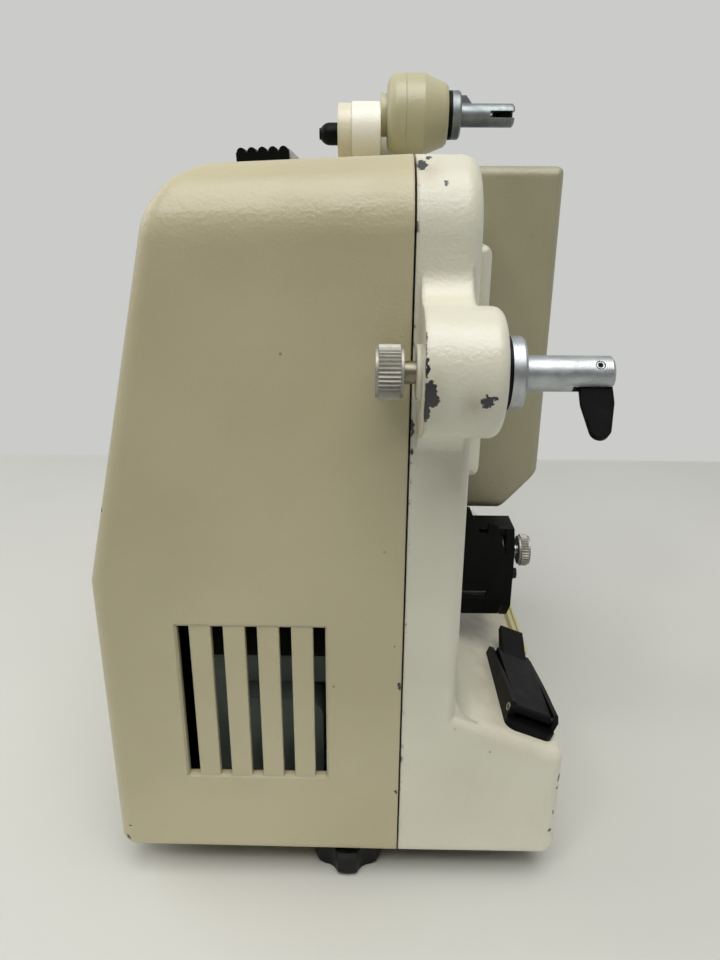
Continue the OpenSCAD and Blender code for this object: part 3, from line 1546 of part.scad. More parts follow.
placed() main_frame();
placed() drive_cover();
placed() lamp_cover();
placed() base_plate();
placed() chassis_plate();
placed() front_feet();
placed() tilt_knob();
placed() tilt_stud();
placed() tilt_bush();
placed() take_up_spindle();
placed() take_up_latch();
placed() take_up_pin();
placed() clutch_knob();
placed() take_up_bush();
placed() take_up_pulley();
placed() take_up_belt();
placed() feed_arm();
placed() feed_arm_plate();
placed() arm_pivot();
placed() arm_button();
placed() bell_back();
placed() bell_front();
placed() feed_spindle();
placed() feed_latch();
placed() feed_pin();
placed() control_slide();
placed() slide_pointer();
placed() film_guide();
placed() guide_roller();
placed() sprocket();
placed() sprocket_shaft();
placed() sprocket_knob();
placed() sprocket_belt();
placed() cutter_base();
placed() cutter_flap();
placed() cutter_pins();
placed() edge_strip();
placed() lamp_socket();
placed() lamp_bulb();
placed() reflector();
placed() condenser_holder();
placed() condenser_lens();
placed() film_gate();
placed() pressure_plate();
placed() lens_mount();
placed() lens_barrel();
placed() lens_glass();
placed() motor_case();
placed() drive_bracket();
placed() motor_shaft();
placed() cooling_fan();
placed() motor_belt();
placed() main_shaft();
placed() shutter();
placed() claw();
placed() cross_shaft();
placed() worm_wheel();
placed() transformer_core();
placed() transformer_winding();
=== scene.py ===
"""Looks of a compact 8 mm cine projector: enamelled castings, turned aluminium and moulded plastic."""

import json
import math

import bmesh
import bpy
from mathutils import Matrix, Vector
from mathutils.bvhtree import BVHTree


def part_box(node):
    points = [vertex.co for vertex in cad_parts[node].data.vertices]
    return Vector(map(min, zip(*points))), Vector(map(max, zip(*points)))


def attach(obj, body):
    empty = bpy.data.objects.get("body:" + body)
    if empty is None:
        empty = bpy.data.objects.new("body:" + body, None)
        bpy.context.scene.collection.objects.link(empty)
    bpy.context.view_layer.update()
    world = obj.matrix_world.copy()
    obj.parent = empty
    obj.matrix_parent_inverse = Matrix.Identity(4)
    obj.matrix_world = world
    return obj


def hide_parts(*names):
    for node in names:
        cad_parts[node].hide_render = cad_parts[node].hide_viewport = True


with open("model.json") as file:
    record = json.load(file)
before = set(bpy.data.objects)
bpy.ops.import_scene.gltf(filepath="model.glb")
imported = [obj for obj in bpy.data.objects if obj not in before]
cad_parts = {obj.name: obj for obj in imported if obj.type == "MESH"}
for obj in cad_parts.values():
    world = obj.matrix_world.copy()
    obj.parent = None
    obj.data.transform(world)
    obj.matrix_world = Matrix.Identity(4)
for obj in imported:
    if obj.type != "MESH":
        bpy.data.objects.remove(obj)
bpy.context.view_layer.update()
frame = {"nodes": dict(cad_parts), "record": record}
nodes = frame["nodes"]
slot_of = {part["node"]: part["material_slot"] for part in frame["record"]["subparts"]}

MM = 0.001

# The CAD source measures from the seam, the rear face and the underside of the body.
# Three faces of the drive cover give the way back. Its edge stands half the seam's gap off the seam.
HALF_SEAM = 0.25
cover_low, cover_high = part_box("drive_cover")
seam_x = cover_high[0] + HALF_SEAM * MM
rear_y = cover_low[1]
under_z = cover_low[2]


def at(x, y, z):
    """A place given in millimetres from the seam, the rear face and the underside."""
    return Vector((seam_x + x * MM, rear_y + y * MM, under_z + z * MM))


def per(size_mm):
    """The scale that gives a pattern features of this size in millimetres."""
    return 1 / (size_mm * MM)


def linear(hex_colour):
    """An sRGB hex value as linear red, green, blue and alpha."""
    channels = [int(hex_colour[i : i + 2], 16) / 255 for i in (1, 3, 5)]
    return tuple(c / 12.92 if c <= 0.04045 else ((c + 0.055) / 1.055) ** 2.4 for c in channels) + (1.0,)


def add(tree, kind, inputs=None, out=0, **settings):
    """Adds a node with its settings, gives its inputs values or links, and returns one of its outputs."""
    made = tree.nodes.new(kind)
    for name, value in settings.items():
        setattr(made, name, value)
    for key, value in (inputs or {}).items():
        if isinstance(value, bpy.types.NodeSocket):
            tree.links.new(value, made.inputs[key])
        else:
            made.inputs[key].default_value = value
    return made.outputs[out] if made.outputs else None


# Sockets of the Mix node when it mixes colours
MIX_FACTOR, MIX_A, MIX_B, MIX_COLOUR = 0, 6, 7, 2


def start_material(name):
    """A new material with its tree, its shader and the piece's own coordinates."""
    material = bpy.data.materials.new(name)
    material.use_nodes = True
    tree = material.node_tree
    coords = add(tree, "ShaderNodeTexCoord", out="Object")
    return material, tree, tree.nodes["Principled BSDF"], coords


BEVEL_SAMPLES = 4
# How well a rounded normal matches the flat one where an edge's mask begins and where it is full
EDGE_BEGINS, EDGE_FULL = 0.985, 0.82


def edge_mask(tree, rounded):
    """A mask that is 1 on edges, where the rounded normal turns away from the flat one."""
    flat = add(tree, "ShaderNodeNewGeometry", out="Normal")
    match = add(tree, "ShaderNodeVectorMath", {0: rounded, 1: flat}, "Value", operation="DOT_PRODUCT")
    return add(tree, "ShaderNodeMapRange", {"Value": match, "From Min": EDGE_BEGINS, "From Max": EDGE_FULL})


def emboss(tree, shader, normal, heights):
    """Stacks heights, each a socket with its depth in millimetres, on a normal."""
    for height, depth_mm in heights:
        normal = add(
            tree, "ShaderNodeBump", {"Height": height, "Distance": depth_mm * MM, "Normal": normal}
        )
    tree.links.new(normal, shader.inputs["Normal"])


# Raggedness of chips, stains and patches of painted shade in millimetres: the grain of their outline and how
# far it strays
RAGGED_GRAIN, RAGGED_STRAY = 1.1, 2.6
NOISE_MIDDLE = (0.5, 0.5, 0.5)


def patches(tree, coords, places, rim):
    """Mask of ragged patches, each a middle and its three half sizes in millimetres.
    A patch fades out over the rim, a share of its size."""
    grain = add(
        tree, "ShaderNodeTexNoise",
        {"Vector": coords, "Scale": per(RAGGED_GRAIN), "Detail": 5.0, "Roughness": 0.65}, "Color",
    )
    centred = add(tree, "ShaderNodeVectorMath", {0: grain, 1: NOISE_MIDDLE}, operation="SUBTRACT")
    stray = add(tree, "ShaderNodeVectorMath", {0: centred, "Scale": RAGGED_STRAY * MM}, operation="SCALE")
    ragged = add(tree, "ShaderNodeVectorMath", {0: coords, 1: stray}, operation="ADD")
    mask = 0.0
    for middle, half_sizes in places:
        away = add(tree, "ShaderNodeVectorMath", {0: ragged, 1: tuple(middle)}, operation="SUBTRACT")
        shares = tuple(per(half) for half in half_sizes)
        scaled = add(tree, "ShaderNodeVectorMath", {0: away, 1: shares}, operation="MULTIPLY")
        reach = add(tree, "ShaderNodeVectorMath", {0: scaled}, "Value", operation="LENGTH")
        patch = add(tree, "ShaderNodeMapRange", {"Value": reach, "From Min": 1.0, "From Max": 1.0 - rim})
        mask = add(tree, "ShaderNodeMath", {0: mask, 1: patch}, operation="MAXIMUM")
    return mask


# Sizes of the enamel's patterns in millimetres
CLOUD = 45
SPECK_CELL = 15
SOIL_AND_SHADE_BLOTCH = 6
GLOSS_RUB = 16
SEAM_FLAKE = 6.5
RUST = 1.6
RIPPLE, RIPPLE_DEPTH = 2.6, 0.10
# The peel is drawn about twice as coarse as on real stoved enamel so that it shows.
PEEL, PEEL_DEPTH = 0.8, 0.11
# The step from paint down to metal, and how far from the seam its wear is full, in millimetres
PAINT_DEPTH, SEAM_EDGE = 0.15, 0.2
# Colours of the edges, paler as a painted highlight, of specks, of soil and of painted shade, and of the
# metal where the enamel was knocked off down to it
EDGE_HIGHLIGHT_CREAM, SPECK_BROWN, SOIL_AND_SHADE_TAN = "#e6e0cc", "#6b5638", "#a08a62"
BARE_DARK, BARE_PALE = "#080d12", "#252b30"
EDGE_HIGHLIGHT_SHARE = 0.25
STAIN_AND_SHADE_RIM, CHIP_RIM = 0.9, 0.1
ENAMEL_SPECULAR = 0.7


def enamel(name, colour, shade, chips=(), stains_and_shade=(), seam_wear=0.0, edge=0.8):
    """Stoved enamel on a casting: a soft gloss with fine orange peel, a little uneven in tone, with a few
    brown specks, paler on edges as a painted highlight, tan where hands and oil soiled it and as painted
    shade where a patch stands for shade, and dark metal where it was knocked off. The seam's wear and the
    rounding of edges are in millimetres."""
    material, tree, shader, coords = start_material(name)
    cloud = add(tree, "ShaderNodeTexNoise", {"Vector": coords, "Scale": per(CLOUD), "Detail": 3.0})
    tone = add(tree, "ShaderNodeMapRange", {"Value": cloud, "From Min": 0.35, "From Max": 0.65})
    paint = add(
        tree, "ShaderNodeMix", {MIX_FACTOR: tone, MIX_A: linear(colour), MIX_B: linear(shade)},
        MIX_COLOUR, data_type="RGBA",
    )
    rounded = add(tree, "ShaderNodeBevel", {"Radius": edge * MM}, samples=BEVEL_SAMPLES)
    # Painted highlight: the edges are drawn paler, as if they caught the light.
    painted_edge_highlight = add(tree, "ShaderNodeMath", {0: edge_mask(tree, rounded), 1: EDGE_HIGHLIGHT_SHARE}, operation="MULTIPLY")
    paint = add(
        tree, "ShaderNodeMix", {MIX_FACTOR: painted_edge_highlight, MIX_A: paint, MIX_B: linear(EDGE_HIGHLIGHT_CREAM)},
        MIX_COLOUR, data_type="RGBA",
    )
    cells = add(tree, "ShaderNodeTexVoronoi", {"Vector": coords, "Scale": per(SPECK_CELL)})
    speck = add(
        tree, "ShaderNodeMapRange",
        {"Value": cells, "From Min": 0.016, "From Max": 0.028, "To Min": 0.7, "To Max": 0.0},
    )
    paint = add(
        tree, "ShaderNodeMix", {MIX_FACTOR: speck, MIX_A: paint, MIX_B: linear(SPECK_BROWN)},
        MIX_COLOUR, data_type="RGBA",
    )
    # Tan patches: soil, and painted shade where a patch stands for shade.
    if stains_and_shade:
        soiled_and_shaded = patches(tree, coords, stains_and_shade, STAIN_AND_SHADE_RIM)
        blotch = add(
            tree, "ShaderNodeTexNoise", {"Vector": coords, "Scale": per(SOIL_AND_SHADE_BLOTCH), "Detail": 5.0}
        )
        amount = add(
            tree, "ShaderNodeMapRange",
            {"Value": blotch, "From Min": 0.35, "From Max": 0.7, "To Min": 0.1, "To Max": 0.55},
        )
        soil_and_shade = add(tree, "ShaderNodeMath", {0: soiled_and_shaded, 1: amount}, operation="MULTIPLY")
        paint = add(
            tree, "ShaderNodeMix", {MIX_FACTOR: soil_and_shade, MIX_A: paint, MIX_B: linear(SOIL_AND_SHADE_TAN)},
            MIX_COLOUR, data_type="RGBA",
        )
    peel = add(tree, "ShaderNodeTexNoise", {"Vector": coords, "Scale": per(PEEL), "Detail": 2.0})
    ripple = add(tree, "ShaderNodeTexNoise", {"Vector": coords, "Scale": per(RIPPLE), "Detail": 1.5})
    heights = [(ripple, RIPPLE_DEPTH), (peel, PEEL_DEPTH)]
    rub = add(tree, "ShaderNodeTexNoise", {"Vector": coords, "Scale": per(GLOSS_RUB), "Detail": 4.0})
    gloss = add(
        tree, "ShaderNodeMapRange",
        {"Value": rub, "From Min": 0.3, "From Max": 0.7, "To Min": 0.30, "To Max": 0.46},
    )
    if chips:
        bare = patches(tree, coords, chips, CHIP_RIM)
        if seam_wear:
            across = add(tree, "ShaderNodeSeparateXYZ", {0: coords}, "X")
            near = add(
                tree, "ShaderNodeMapRange",
                {"Value": across, "From Min": seam_x + seam_wear * MM, "From Max": seam_x + SEAM_EDGE * MM},
            )
            flakes = add(
                tree, "ShaderNodeTexNoise",
                {"Vector": coords, "Scale": per(SEAM_FLAKE), "Detail": 6.0, "Roughness": 0.7},
            )
            lost = add(tree, "ShaderNodeMapRange", {"Value": flakes, "From Min": 0.57, "From Max": 0.60})
            worn = add(tree, "ShaderNodeMath", {0: near, 1: lost}, operation="MULTIPLY")
            bare = add(tree, "ShaderNodeMath", {0: bare, 1: worn}, operation="MAXIMUM")
        rust = add(tree, "ShaderNodeTexNoise", {"Vector": coords, "Scale": per(RUST), "Detail": 5.0})
        metal = add(
            tree, "ShaderNodeMix", {MIX_FACTOR: rust, MIX_A: linear(BARE_DARK), MIX_B: linear(BARE_PALE)},
            MIX_COLOUR, data_type="RGBA",
        )
        paint = add(
            tree, "ShaderNodeMix", {MIX_FACTOR: bare, MIX_A: paint, MIX_B: metal},
            MIX_COLOUR, data_type="RGBA",
        )
        coat = add(tree, "ShaderNodeMath", {0: 1.0, 1: bare}, operation="SUBTRACT")
        heights.append((coat, PAINT_DEPTH))
    tree.links.new(paint, shader.inputs["Base Color"])
    tree.links.new(gloss, shader.inputs["Roughness"])
    shader.inputs["Specular IOR Level"].default_value = ENAMEL_SPECULAR
    emboss(tree, shader, rounded, heights)
    return material


# Sizes of the metals' patterns and of their rounded edges in millimetres
BLOOM = 5
METAL_EDGE = 0.2
SCUFF, SCUFF_DEPTH = 1.8, 0.012
RING_DEPTH = 0.01
# A wave's bands are this far apart at scale 1.
WAVE_PITCH = math.pi / 10
# Old lacquer's tone, and the width in millimetres over which it ends
LACQUER, LACQUER_RIM = "#8e8877", 0.5


def turned_metal(name, colour, tarnish, roughness, ring, axis="X", lacquer_end=None):
    """Metal turned on a lathe: fine rings square to the axis and a faint uneven bloom.
    The rings, given in millimetres, are drawn coarser than real tool marks so that they show.
    Towards the drive side of a lacquer's end the metal has the warm tone of old lacquer."""
    material, tree, shader, coords = start_material(name)
    bloom = add(tree, "ShaderNodeTexNoise", {"Vector": coords, "Scale": per(BLOOM), "Detail": 5.0})
    dull = add(
        tree, "ShaderNodeMapRange",
        {"Value": bloom, "From Min": 0.35, "From Max": 0.75, "To Min": 0.0, "To Max": 0.6},
    )
    skin = add(
        tree, "ShaderNodeMix", {MIX_FACTOR: dull, MIX_A: linear(colour), MIX_B: linear(tarnish)},
        MIX_COLOUR, data_type="RGBA",
    )
    if lacquer_end is not None:
        across = add(tree, "ShaderNodeSeparateXYZ", {0: coords}, "X")
        end_x = seam_x + lacquer_end * MM
        lacquered = add(
            tree, "ShaderNodeMapRange",
            {"Value": across, "From Min": end_x + LACQUER_RIM * MM, "From Max": end_x},
        )
        skin = add(
            tree, "ShaderNodeMix", {MIX_FACTOR: lacquered, MIX_A: skin, MIX_B: linear(LACQUER)},
            MIX_COLOUR, data_type="RGBA",
        )
    rings = add(
        tree, "ShaderNodeTexWave",
        {"Vector": coords, "Scale": WAVE_PITCH * per(ring), "Distortion": 0.5, "Detail": 2.0},
        "Fac", bands_direction=axis,
    )
    scuff = add(
        tree, "ShaderNodeTexNoise",
        {"Vector": coords, "Scale": per(SCUFF), "Detail": 6.0, "Roughness": 0.7},
    )
    gloss = add(
        tree, "ShaderNodeMapRange",
        {
            "Value": scuff, "From Min": 0.3, "From Max": 0.7,
            "To Min": roughness - 0.06, "To Max": roughness + 0.12,
        },
    )
    tree.links.new(skin, shader.inputs["Base Color"])
    tree.links.new(gloss, shader.inputs["Roughness"])
    shader.inputs["Metallic"].default_value = 1.0
    rounded = add(tree, "ShaderNodeBevel", {"Radius": METAL_EDGE * MM}, samples=BEVEL_SAMPLES)
    emboss(tree, shader, rounded, [(rings, RING_DEPTH), (scuff, SCUFF_DEPTH)])
    return material


# Sizes of the plastics' patterns and of their rounded edges in millimetres
HANDLING = 6
LINT = 0.7
MOULD_EDGE = 0.35
GRAIN_DEPTH = 0.03
TOUCHED_SHARE = 0.6


def moulded(name, colour, worn, roughness, grain=0.5, specular=0.3):
    """Moulded or coated skin: a fine grain from the mould, handled edges lighter and shinier, a little dust.
    The grain, given in millimetres, is drawn coarser than a real one so that it shows."""
    material, tree, shader, coords = start_material(name)
    handling = add(
        tree, "ShaderNodeTexNoise",
        {"Vector": coords, "Scale": per(HANDLING), "Detail": 6.0, "Roughness": 0.65},
    )
    rub = add(
        tree, "ShaderNodeMapRange",
        {"Value": handling, "From Min": 0.45, "From Max": 0.75, "To Min": 0.0, "To Max": 0.45},
    )
    rounded = add(tree, "ShaderNodeBevel", {"Radius": MOULD_EDGE * MM}, samples=BEVEL_SAMPLES)
    touched = add(
        tree, "ShaderNodeMath", {0: edge_mask(tree, rounded), 1: TOUCHED_SHARE}, operation="MULTIPLY"
    )
    rub = add(tree, "ShaderNodeMath", {0: rub, 1: touched}, operation="MAXIMUM")
    skin = add(
        tree, "ShaderNodeMix", {MIX_FACTOR: rub, MIX_A: linear(colour), MIX_B: linear(worn)},
        MIX_COLOUR, data_type="RGBA",
    )
    lint = add(tree, "ShaderNodeTexNoise", {"Vector": coords, "Scale": per(LINT), "Detail": 2.0})
    dust = add(
        tree, "ShaderNodeMapRange",
        {"Value": lint, "From Min": 0.68, "From Max": 0.76, "To Min": 0.0, "To Max": 0.4},
    )
    skin = add(
        tree, "ShaderNodeMix", {MIX_FACTOR: dust, MIX_A: skin, MIX_B: linear(worn)},
        MIX_COLOUR, data_type="RGBA",
    )
    gloss = add(
        tree, "ShaderNodeMapRange", {"Value": rub, "To Min": roughness + 0.06, "To Max": roughness - 0.10}
    )
    tree.links.new(skin, shader.inputs["Base Color"])
    tree.links.new(gloss, shader.inputs["Roughness"])
    shader.inputs["Specular IOR Level"].default_value = specular
    relief = add(tree, "ShaderNodeTexNoise", {"Vector": coords, "Scale": per(grain), "Detail": 2.0})
    emboss(tree, shader, rounded, [(relief, GRAIN_DEPTH)])
    return material


# Size of the dust's pattern in millimetres
DUST_FILM = 3
GLASS_IOR, GLASS_CLEARNESS = 1.5, 0.92


def clear_glass(name, tint, roughness):
    """Clear glass: bright edges and a faint film of dust."""
    material, tree, shader, coords = start_material(name)
    film = add(tree, "ShaderNodeTexNoise", {"Vector": coords, "Scale": per(DUST_FILM), "Detail": 5.0})
    gloss = add(
        tree, "ShaderNodeMapRange",
        {"Value": film, "From Min": 0.4, "From Max": 0.8, "To Min": roughness, "To Max": roughness + 0.12},
    )
    cast = add(
        tree, "ShaderNodeMix", {MIX_FACTOR: film, MIX_A: linear(tint), MIX_B: linear("#ffffff")},
        MIX_COLOUR, data_type="RGBA",
    )
    tree.links.new(gloss, shader.inputs["Roughness"])
    tree.links.new(cast, shader.inputs["Base Color"])
    shader.inputs["Transmission Weight"].default_value = GLASS_CLEARNESS
    shader.inputs["IOR"].default_value = GLASS_IOR
    return material


# Knocks on the casting and the cover: a middle, then half sizes along X, Y and Z in millimetres
CASTING_CHIPS = [
    # on the boss, beside the bush and below the spindle's collar
    (at(2.6, -22.8, 146.6), (1.5, 3.0, 2.6)),
    (at(3.4, -22.8, 145.0), (1.2, 3.0, 1.6)),
    (at(1.9, -22.6, 142.4), (0.9, 3.0, 3.0)),
    (at(1.7, -22.6, 151.5), (0.5, 3.0, 2.0)),
    (at(1.6, -21.6, 157.0), (0.3, 3.0, 3.0)),
    (at(2.4, -21.6, 137.6), (0.6, 3.0, 0.6)),
    (at(14.2, -22.6, 144.8), (1.3, 3.0, 1.4)),
    (at(15.6, -22.2, 145.6), (0.8, 2.0, 0.6)),
    (at(9.6, -23.2, 155.5), (0.3, 2.0, 0.3)),
    (at(12.0, -23.2, 140.0), (0.4, 2.0, 0.4)),
    # on top of the column
    (at(1.4, 9.0, 190.8), (1.2, 4.0, 1.2)),
    (at(3.2, 12.0, 192.6), (0.9, 2.0, 0.5)),
    (at(6.5, 4.0, 187.0), (0.6, 2.0, 0.5)),
    # down the outer edge of the toe
    (at(46.2, 0.8, 28.5), (0.9, 2.4, 1.1)),
    (at(45.8, 0.6, 25.0), (0.5, 2.0, 0.6)),
    (at(45.3, 0.4, 16.5), (0.4, 2.0, 0.8)),
    (at(44.9, 0.4, 10.0), (0.4, 2.0, 0.6)),
    # along the seam and low on the column
    (at(0.5, 0.8, 133.0), (0.5, 2.0, 2.6)),
    (at(0.5, 0.8, 127.0), (0.4, 2.0, 1.2)),
    (at(14.8, 1.4, 46.0), (0.4, 1.6, 0.5)),
]
COVER_CHIPS = [
    # on the leaning edge and the lower corner
    (at(-77.6, 3.0, 110.0), (0.5, 2.5, 0.8)),
    (at(-71.5, 3.0, 146.0), (0.4, 2.5, 0.7)),
    (at(-80.6, 1.6, 5.0), (0.7, 2.5, 0.9)),
    (at(-79.6, 1.2, 9.5), (0.4, 2.0, 0.5)),
    # along the seam
    (at(-0.8, 0.8, 60.0), (0.4, 2.0, 1.2)),
    (at(-0.8, 0.8, 24.0), (0.4, 2.0, 0.9)),
]

# Soiled places on the casting, given like the knocks: the boss, the seam and the column's top, then painted
# shade on the toe's top and the low column beside it, where the lamp housing shades them
CASTING_STAINS_AND_SHADE = [
    (at(12.0, -22.8, 143.5), (4.5, 5.0, 6.0)),
    (at(3.0, -22.8, 145.0), (4.0, 5.0, 9.0)),
    (at(1.0, -4.0, 128.0), (2.5, 8.0, 12.0)),
    (at(3.0, 8.0, 190.0), (5.0, 9.0, 6.0)),
    # Painted shade: the lamp housing's shade on the toe's top, drawn in the soil's tan.
    (at(34.0, 60.0, 45.0), (20.0, 90.0, 14.0)),
]

# Paint: pale creams and khakis with a soft sheen on their roundings
cream_enamel = enamel(
    "stoved enamel, cream", "#dedac7", "#d3d0bb", CASTING_CHIPS, CASTING_STAINS_AND_SHADE, seam_wear=1.0, edge=1.6
)
arm_enamel = enamel("stoved enamel, pale cream", "#f5f2e5", "#ece8d8")
khaki_enamel = enamel("stoved enamel, khaki beige", "#c0b694", "#b8ae8b", COVER_CHIPS)
lamp_enamel = enamel("stoved enamel, grey khaki", "#a09b7f", "#969073", edge=1.6)
bell_enamel = enamel("stoved enamel, olive beige", "#bfb996", "#b3ac88")
plate_enamel = enamel("stoved enamel, light khaki", "#e3dcc4", "#d8d0b6")

# Metal: satin greys with long soft highlights, warm brass and a bright mirror behind the bulb
spindle_aluminium = turned_metal(
    "aluminium, satin turned", "#bcc0c2", "#8a8e90", roughness=0.42, ring=0.5, lacquer_end=3.0
)
# A darker copy of the spindles' satin aluminium, used on the feed spindle.
darker_spindle_aluminium = turned_metal("aluminium, darker satin", "#949a9c", "#5f6466", roughness=0.46, ring=0.5)
knob_aluminium = turned_metal("aluminium, knurled", "#aeaba3", "#86827b", roughness=0.54, ring=0.6)
shaft_steel = turned_metal("steel, turned", "#a9abab", "#7c7d7c", roughness=0.28, ring=0.5)
plated_sheet = turned_metal(
    "steel sheet, zinc plated", "#a3a6a4", "#7c807f", roughness=0.42, ring=1.2, axis="Z"
)
wheel_brass = turned_metal("brass, hobbed", "#b8934c", "#7d6432", roughness=0.32, ring=0.5)
motor_casting = turned_metal("zinc die casting", "#8a8c8c", "#666867", roughness=0.50, ring=1.6, axis="Y")
reflector_silver = turned_metal(
    "silvered reflector", "#dfe2e2", "#c2c5c5", roughness=0.10, ring=2.0, axis="Y"
)

# Plastic, rubber, lacquer and ceramic: deep blacks, dull ivories and greys with a fine grain
guide_plastic = moulded("ABS, black moulded", "#050606", "#151616", roughness=0.42, specular=0.12)
latch_plastic = moulded("nylon, black moulded", "#040505", "#0d0f10", roughness=0.48, specular=0.06)
star_plastic = moulded("phenolic, black moulded", "#0d0d0e", "#262523", roughness=0.36, specular=0.25)
strip_plastic = moulded("ABS, yellowed ivory", "#d8cfa0", "#c4b884", roughness=0.38)
pointer_plastic = moulded("ABS, pale grey", "#b5b8b8", "#9da0a0", roughness=0.44)
roller_nylon = moulded("nylon, cream white", "#e0dac6", "#cfc7ab", roughness=0.40)
foot_rubber = moulded("rubber, black", "#141413", "#2a2927", roughness=0.66, grain=0.9)
plate_lacquer = moulded("lacquer on steel, black", "#151616", "#2b2c2c", roughness=0.40, grain=1.2)
lens_anodising = moulded("anodised aluminium, black", "#131416", "#2c2e32", roughness=0.32, grain=0.8)
socket_ceramic = moulded("glazed ceramic", "#d6d2c5", "#c4bfb0", roughness=0.24, grain=2.0)
winding_wrap = moulded("varnished paper wrap, grey", "#79827b", "#626a64", roughness=0.42, grain=3.0)
core_lacquer = moulded(
    "lacquer on steel laminations, grey green", "#a3aea4", "#87928a", roughness=0.50, grain=0.8
)

# Glass: clear with a faint cast
bulb_glass = clear_glass("bulb glass", "#f4f6f4", roughness=0.03)
lens_glass = clear_glass("coated lens glass", "#c9d2e6", roughness=0.02)

FINISHES = {
    "main_frame": cream_enamel,
    "drive_cover": khaki_enamel,
    "lamp_cover": lamp_enamel,
    "feed_arm": arm_enamel,
    "feed_arm_plate": plate_enamel,
    "bell_back": bell_enamel,
    "bell_front": bell_enamel,
    "take_up_bush": cream_enamel,
    "feed_spindle": darker_spindle_aluminium,
    "clutch_knob": knob_aluminium,
    "sprocket_knob": knob_aluminium,
    "take_up_latch": latch_plastic,
    "feed_latch": latch_plastic,
    "tilt_knob": star_plastic,
    "slide_pointer": pointer_plastic,
    "transformer_winding": winding_wrap,
    "transformer_core": core_lacquer,
    "lamp_socket": socket_ceramic,
    "lamp_bulb": bulb_glass,
    "condenser_lens": lens_glass,
    "lens_glass": lens_glass,
    "reflector": reflector_silver,
    "lens_barrel": lens_anodising,
    "guide_roller": roller_nylon,
    "sprocket": roller_nylon,
    "chassis_plate": plated_sheet,
    "motor_case": motor_casting,
    "drive_bracket": motor_casting,
}
BY_SLOT = {
    "black_plastic": guide_plastic,
    "black_metal": plate_lacquer,
    "satin_aluminium": spindle_aluminium,
    "steel": shaft_steel,
    "brass": wheel_brass,
    "rubber": foot_rubber,
    "ivory_plastic": strip_plastic,
    "grey_plastic": pointer_plastic,
}
finish_of = {name: FINISHES.get(name) or BY_SLOT[slot_of[name]] for name in nodes}
for name, piece in nodes.items():
    piece.data.materials.clear()
    piece.data.materials.append(finish_of[name])


def new_piece(name, mesh, body, finish=None):
    """A finished piece that rides on a body. A mesh that brings its own finish keeps it."""
    piece = bpy.data.objects.new(name, mesh)
    bpy.context.collection.objects.link(piece)
    if finish:
        mesh.materials.clear()
        mesh.materials.append(finish)
    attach(piece, body)
    return piece


# The drive cover's own measures in millimetres, as in the CAD source
BODY_H, BODY_D = 194.0, 186.0
SHOULDER_X, SHOULDER_R, COVER_EDGE_R = 43.0, 19.4, 5.0
TOP_FALL, TOP_R, BOTTOM_R = 2.0, 18.0, 4.0
KINK_W, KINK_Z, BOTTOM_W = 83.0, 89.0, 83.5
SHOULDER_Z = BODY_H - TOP_FALL - SHOULDER_R
# Steps of the fine form in degrees: along the shoulder and the seam's roundings, and round each small ball
ARC_STEP, BALL_STEP = 2, 10


def fine_cover_form():
    """The cover's outer form with close steps round its shoulder, to look up points on it."""
    arc_r = SHOULDER_R - COVER_EDGE_R
    round_z = BODY_H - TOP_FALL - TOP_R
    balls = [
        (COVER_EDGE_R - KINK_W, COVER_EDGE_R, KINK_Z),
        (COVER_EDGE_R - BOTTOM_W, COVER_EDGE_R, COVER_EDGE_R),
    ]
    for degrees in range(0, 90 + ARC_STEP, ARC_STEP):
        angle = math.radians(degrees)
        z = SHOULDER_Z + arc_r * math.sin(angle)
        drop = math.sqrt(max(0.0, (TOP_R - COVER_EDGE_R) ** 2 - (z - round_z) ** 2))
        y = COVER_EDGE_R if z <= round_z else TOP_R - drop
        balls.append((-SHOULDER_X - arc_r * math.cos(angle), y, z))
    turns = [math.radians(degrees) for degrees in range(0, 360, BALL_STEP)]
    tilts = [math.radians(degrees) for degrees in range(-90, 90 + BALL_STEP, BALL_STEP)]
    points = []
    for x, y, z in balls:
        for middle_y in (y, BODY_D - y):
            for tilt in tilts:
                ring_r = COVER_EDGE_R * math.cos(tilt)
                ring_z = z + COVER_EDGE_R * math.sin(tilt)
                for turn in turns:
                    points.append((x + ring_r * math.cos(turn), middle_y + ring_r * math.sin(turn), ring_z))
    for y, z, r in ((TOP_R, BODY_H - TOP_R, TOP_R), (BOTTOM_R, BOTTOM_R, BOTTOM_R)):
        for middle_y in (y, BODY_D - y):
            for degrees in range(0, 360, ARC_STEP):
                angle = math.radians(degrees)
                points.append((-HALF_SEAM, middle_y + r * math.cos(angle), z + r * math.sin(angle)))
    form = bmesh.new()
    for point in points:
        form.verts.new(at(*point))
    bmesh.ops.convex_hull(form, input=form.verts)
    surface = BVHTree.FromBMesh(form)
    form.free()
    return surface


# The part of the cover that is refined: above a height, close to the fine form and facing like it
REFINE_ABOVE, REFINE_REACH = 165, 1.2
FACES_ALIKE, VERTS_ALIKE = 0.5, 0.3
# Cuts across the shoulder and across the roundings of the top, and degrees from one to the next
SHOULDER_CUTS, SHOULDER_STEP = 23, 3.75
TOP_CUTS, TOP_STEP = 17, 5


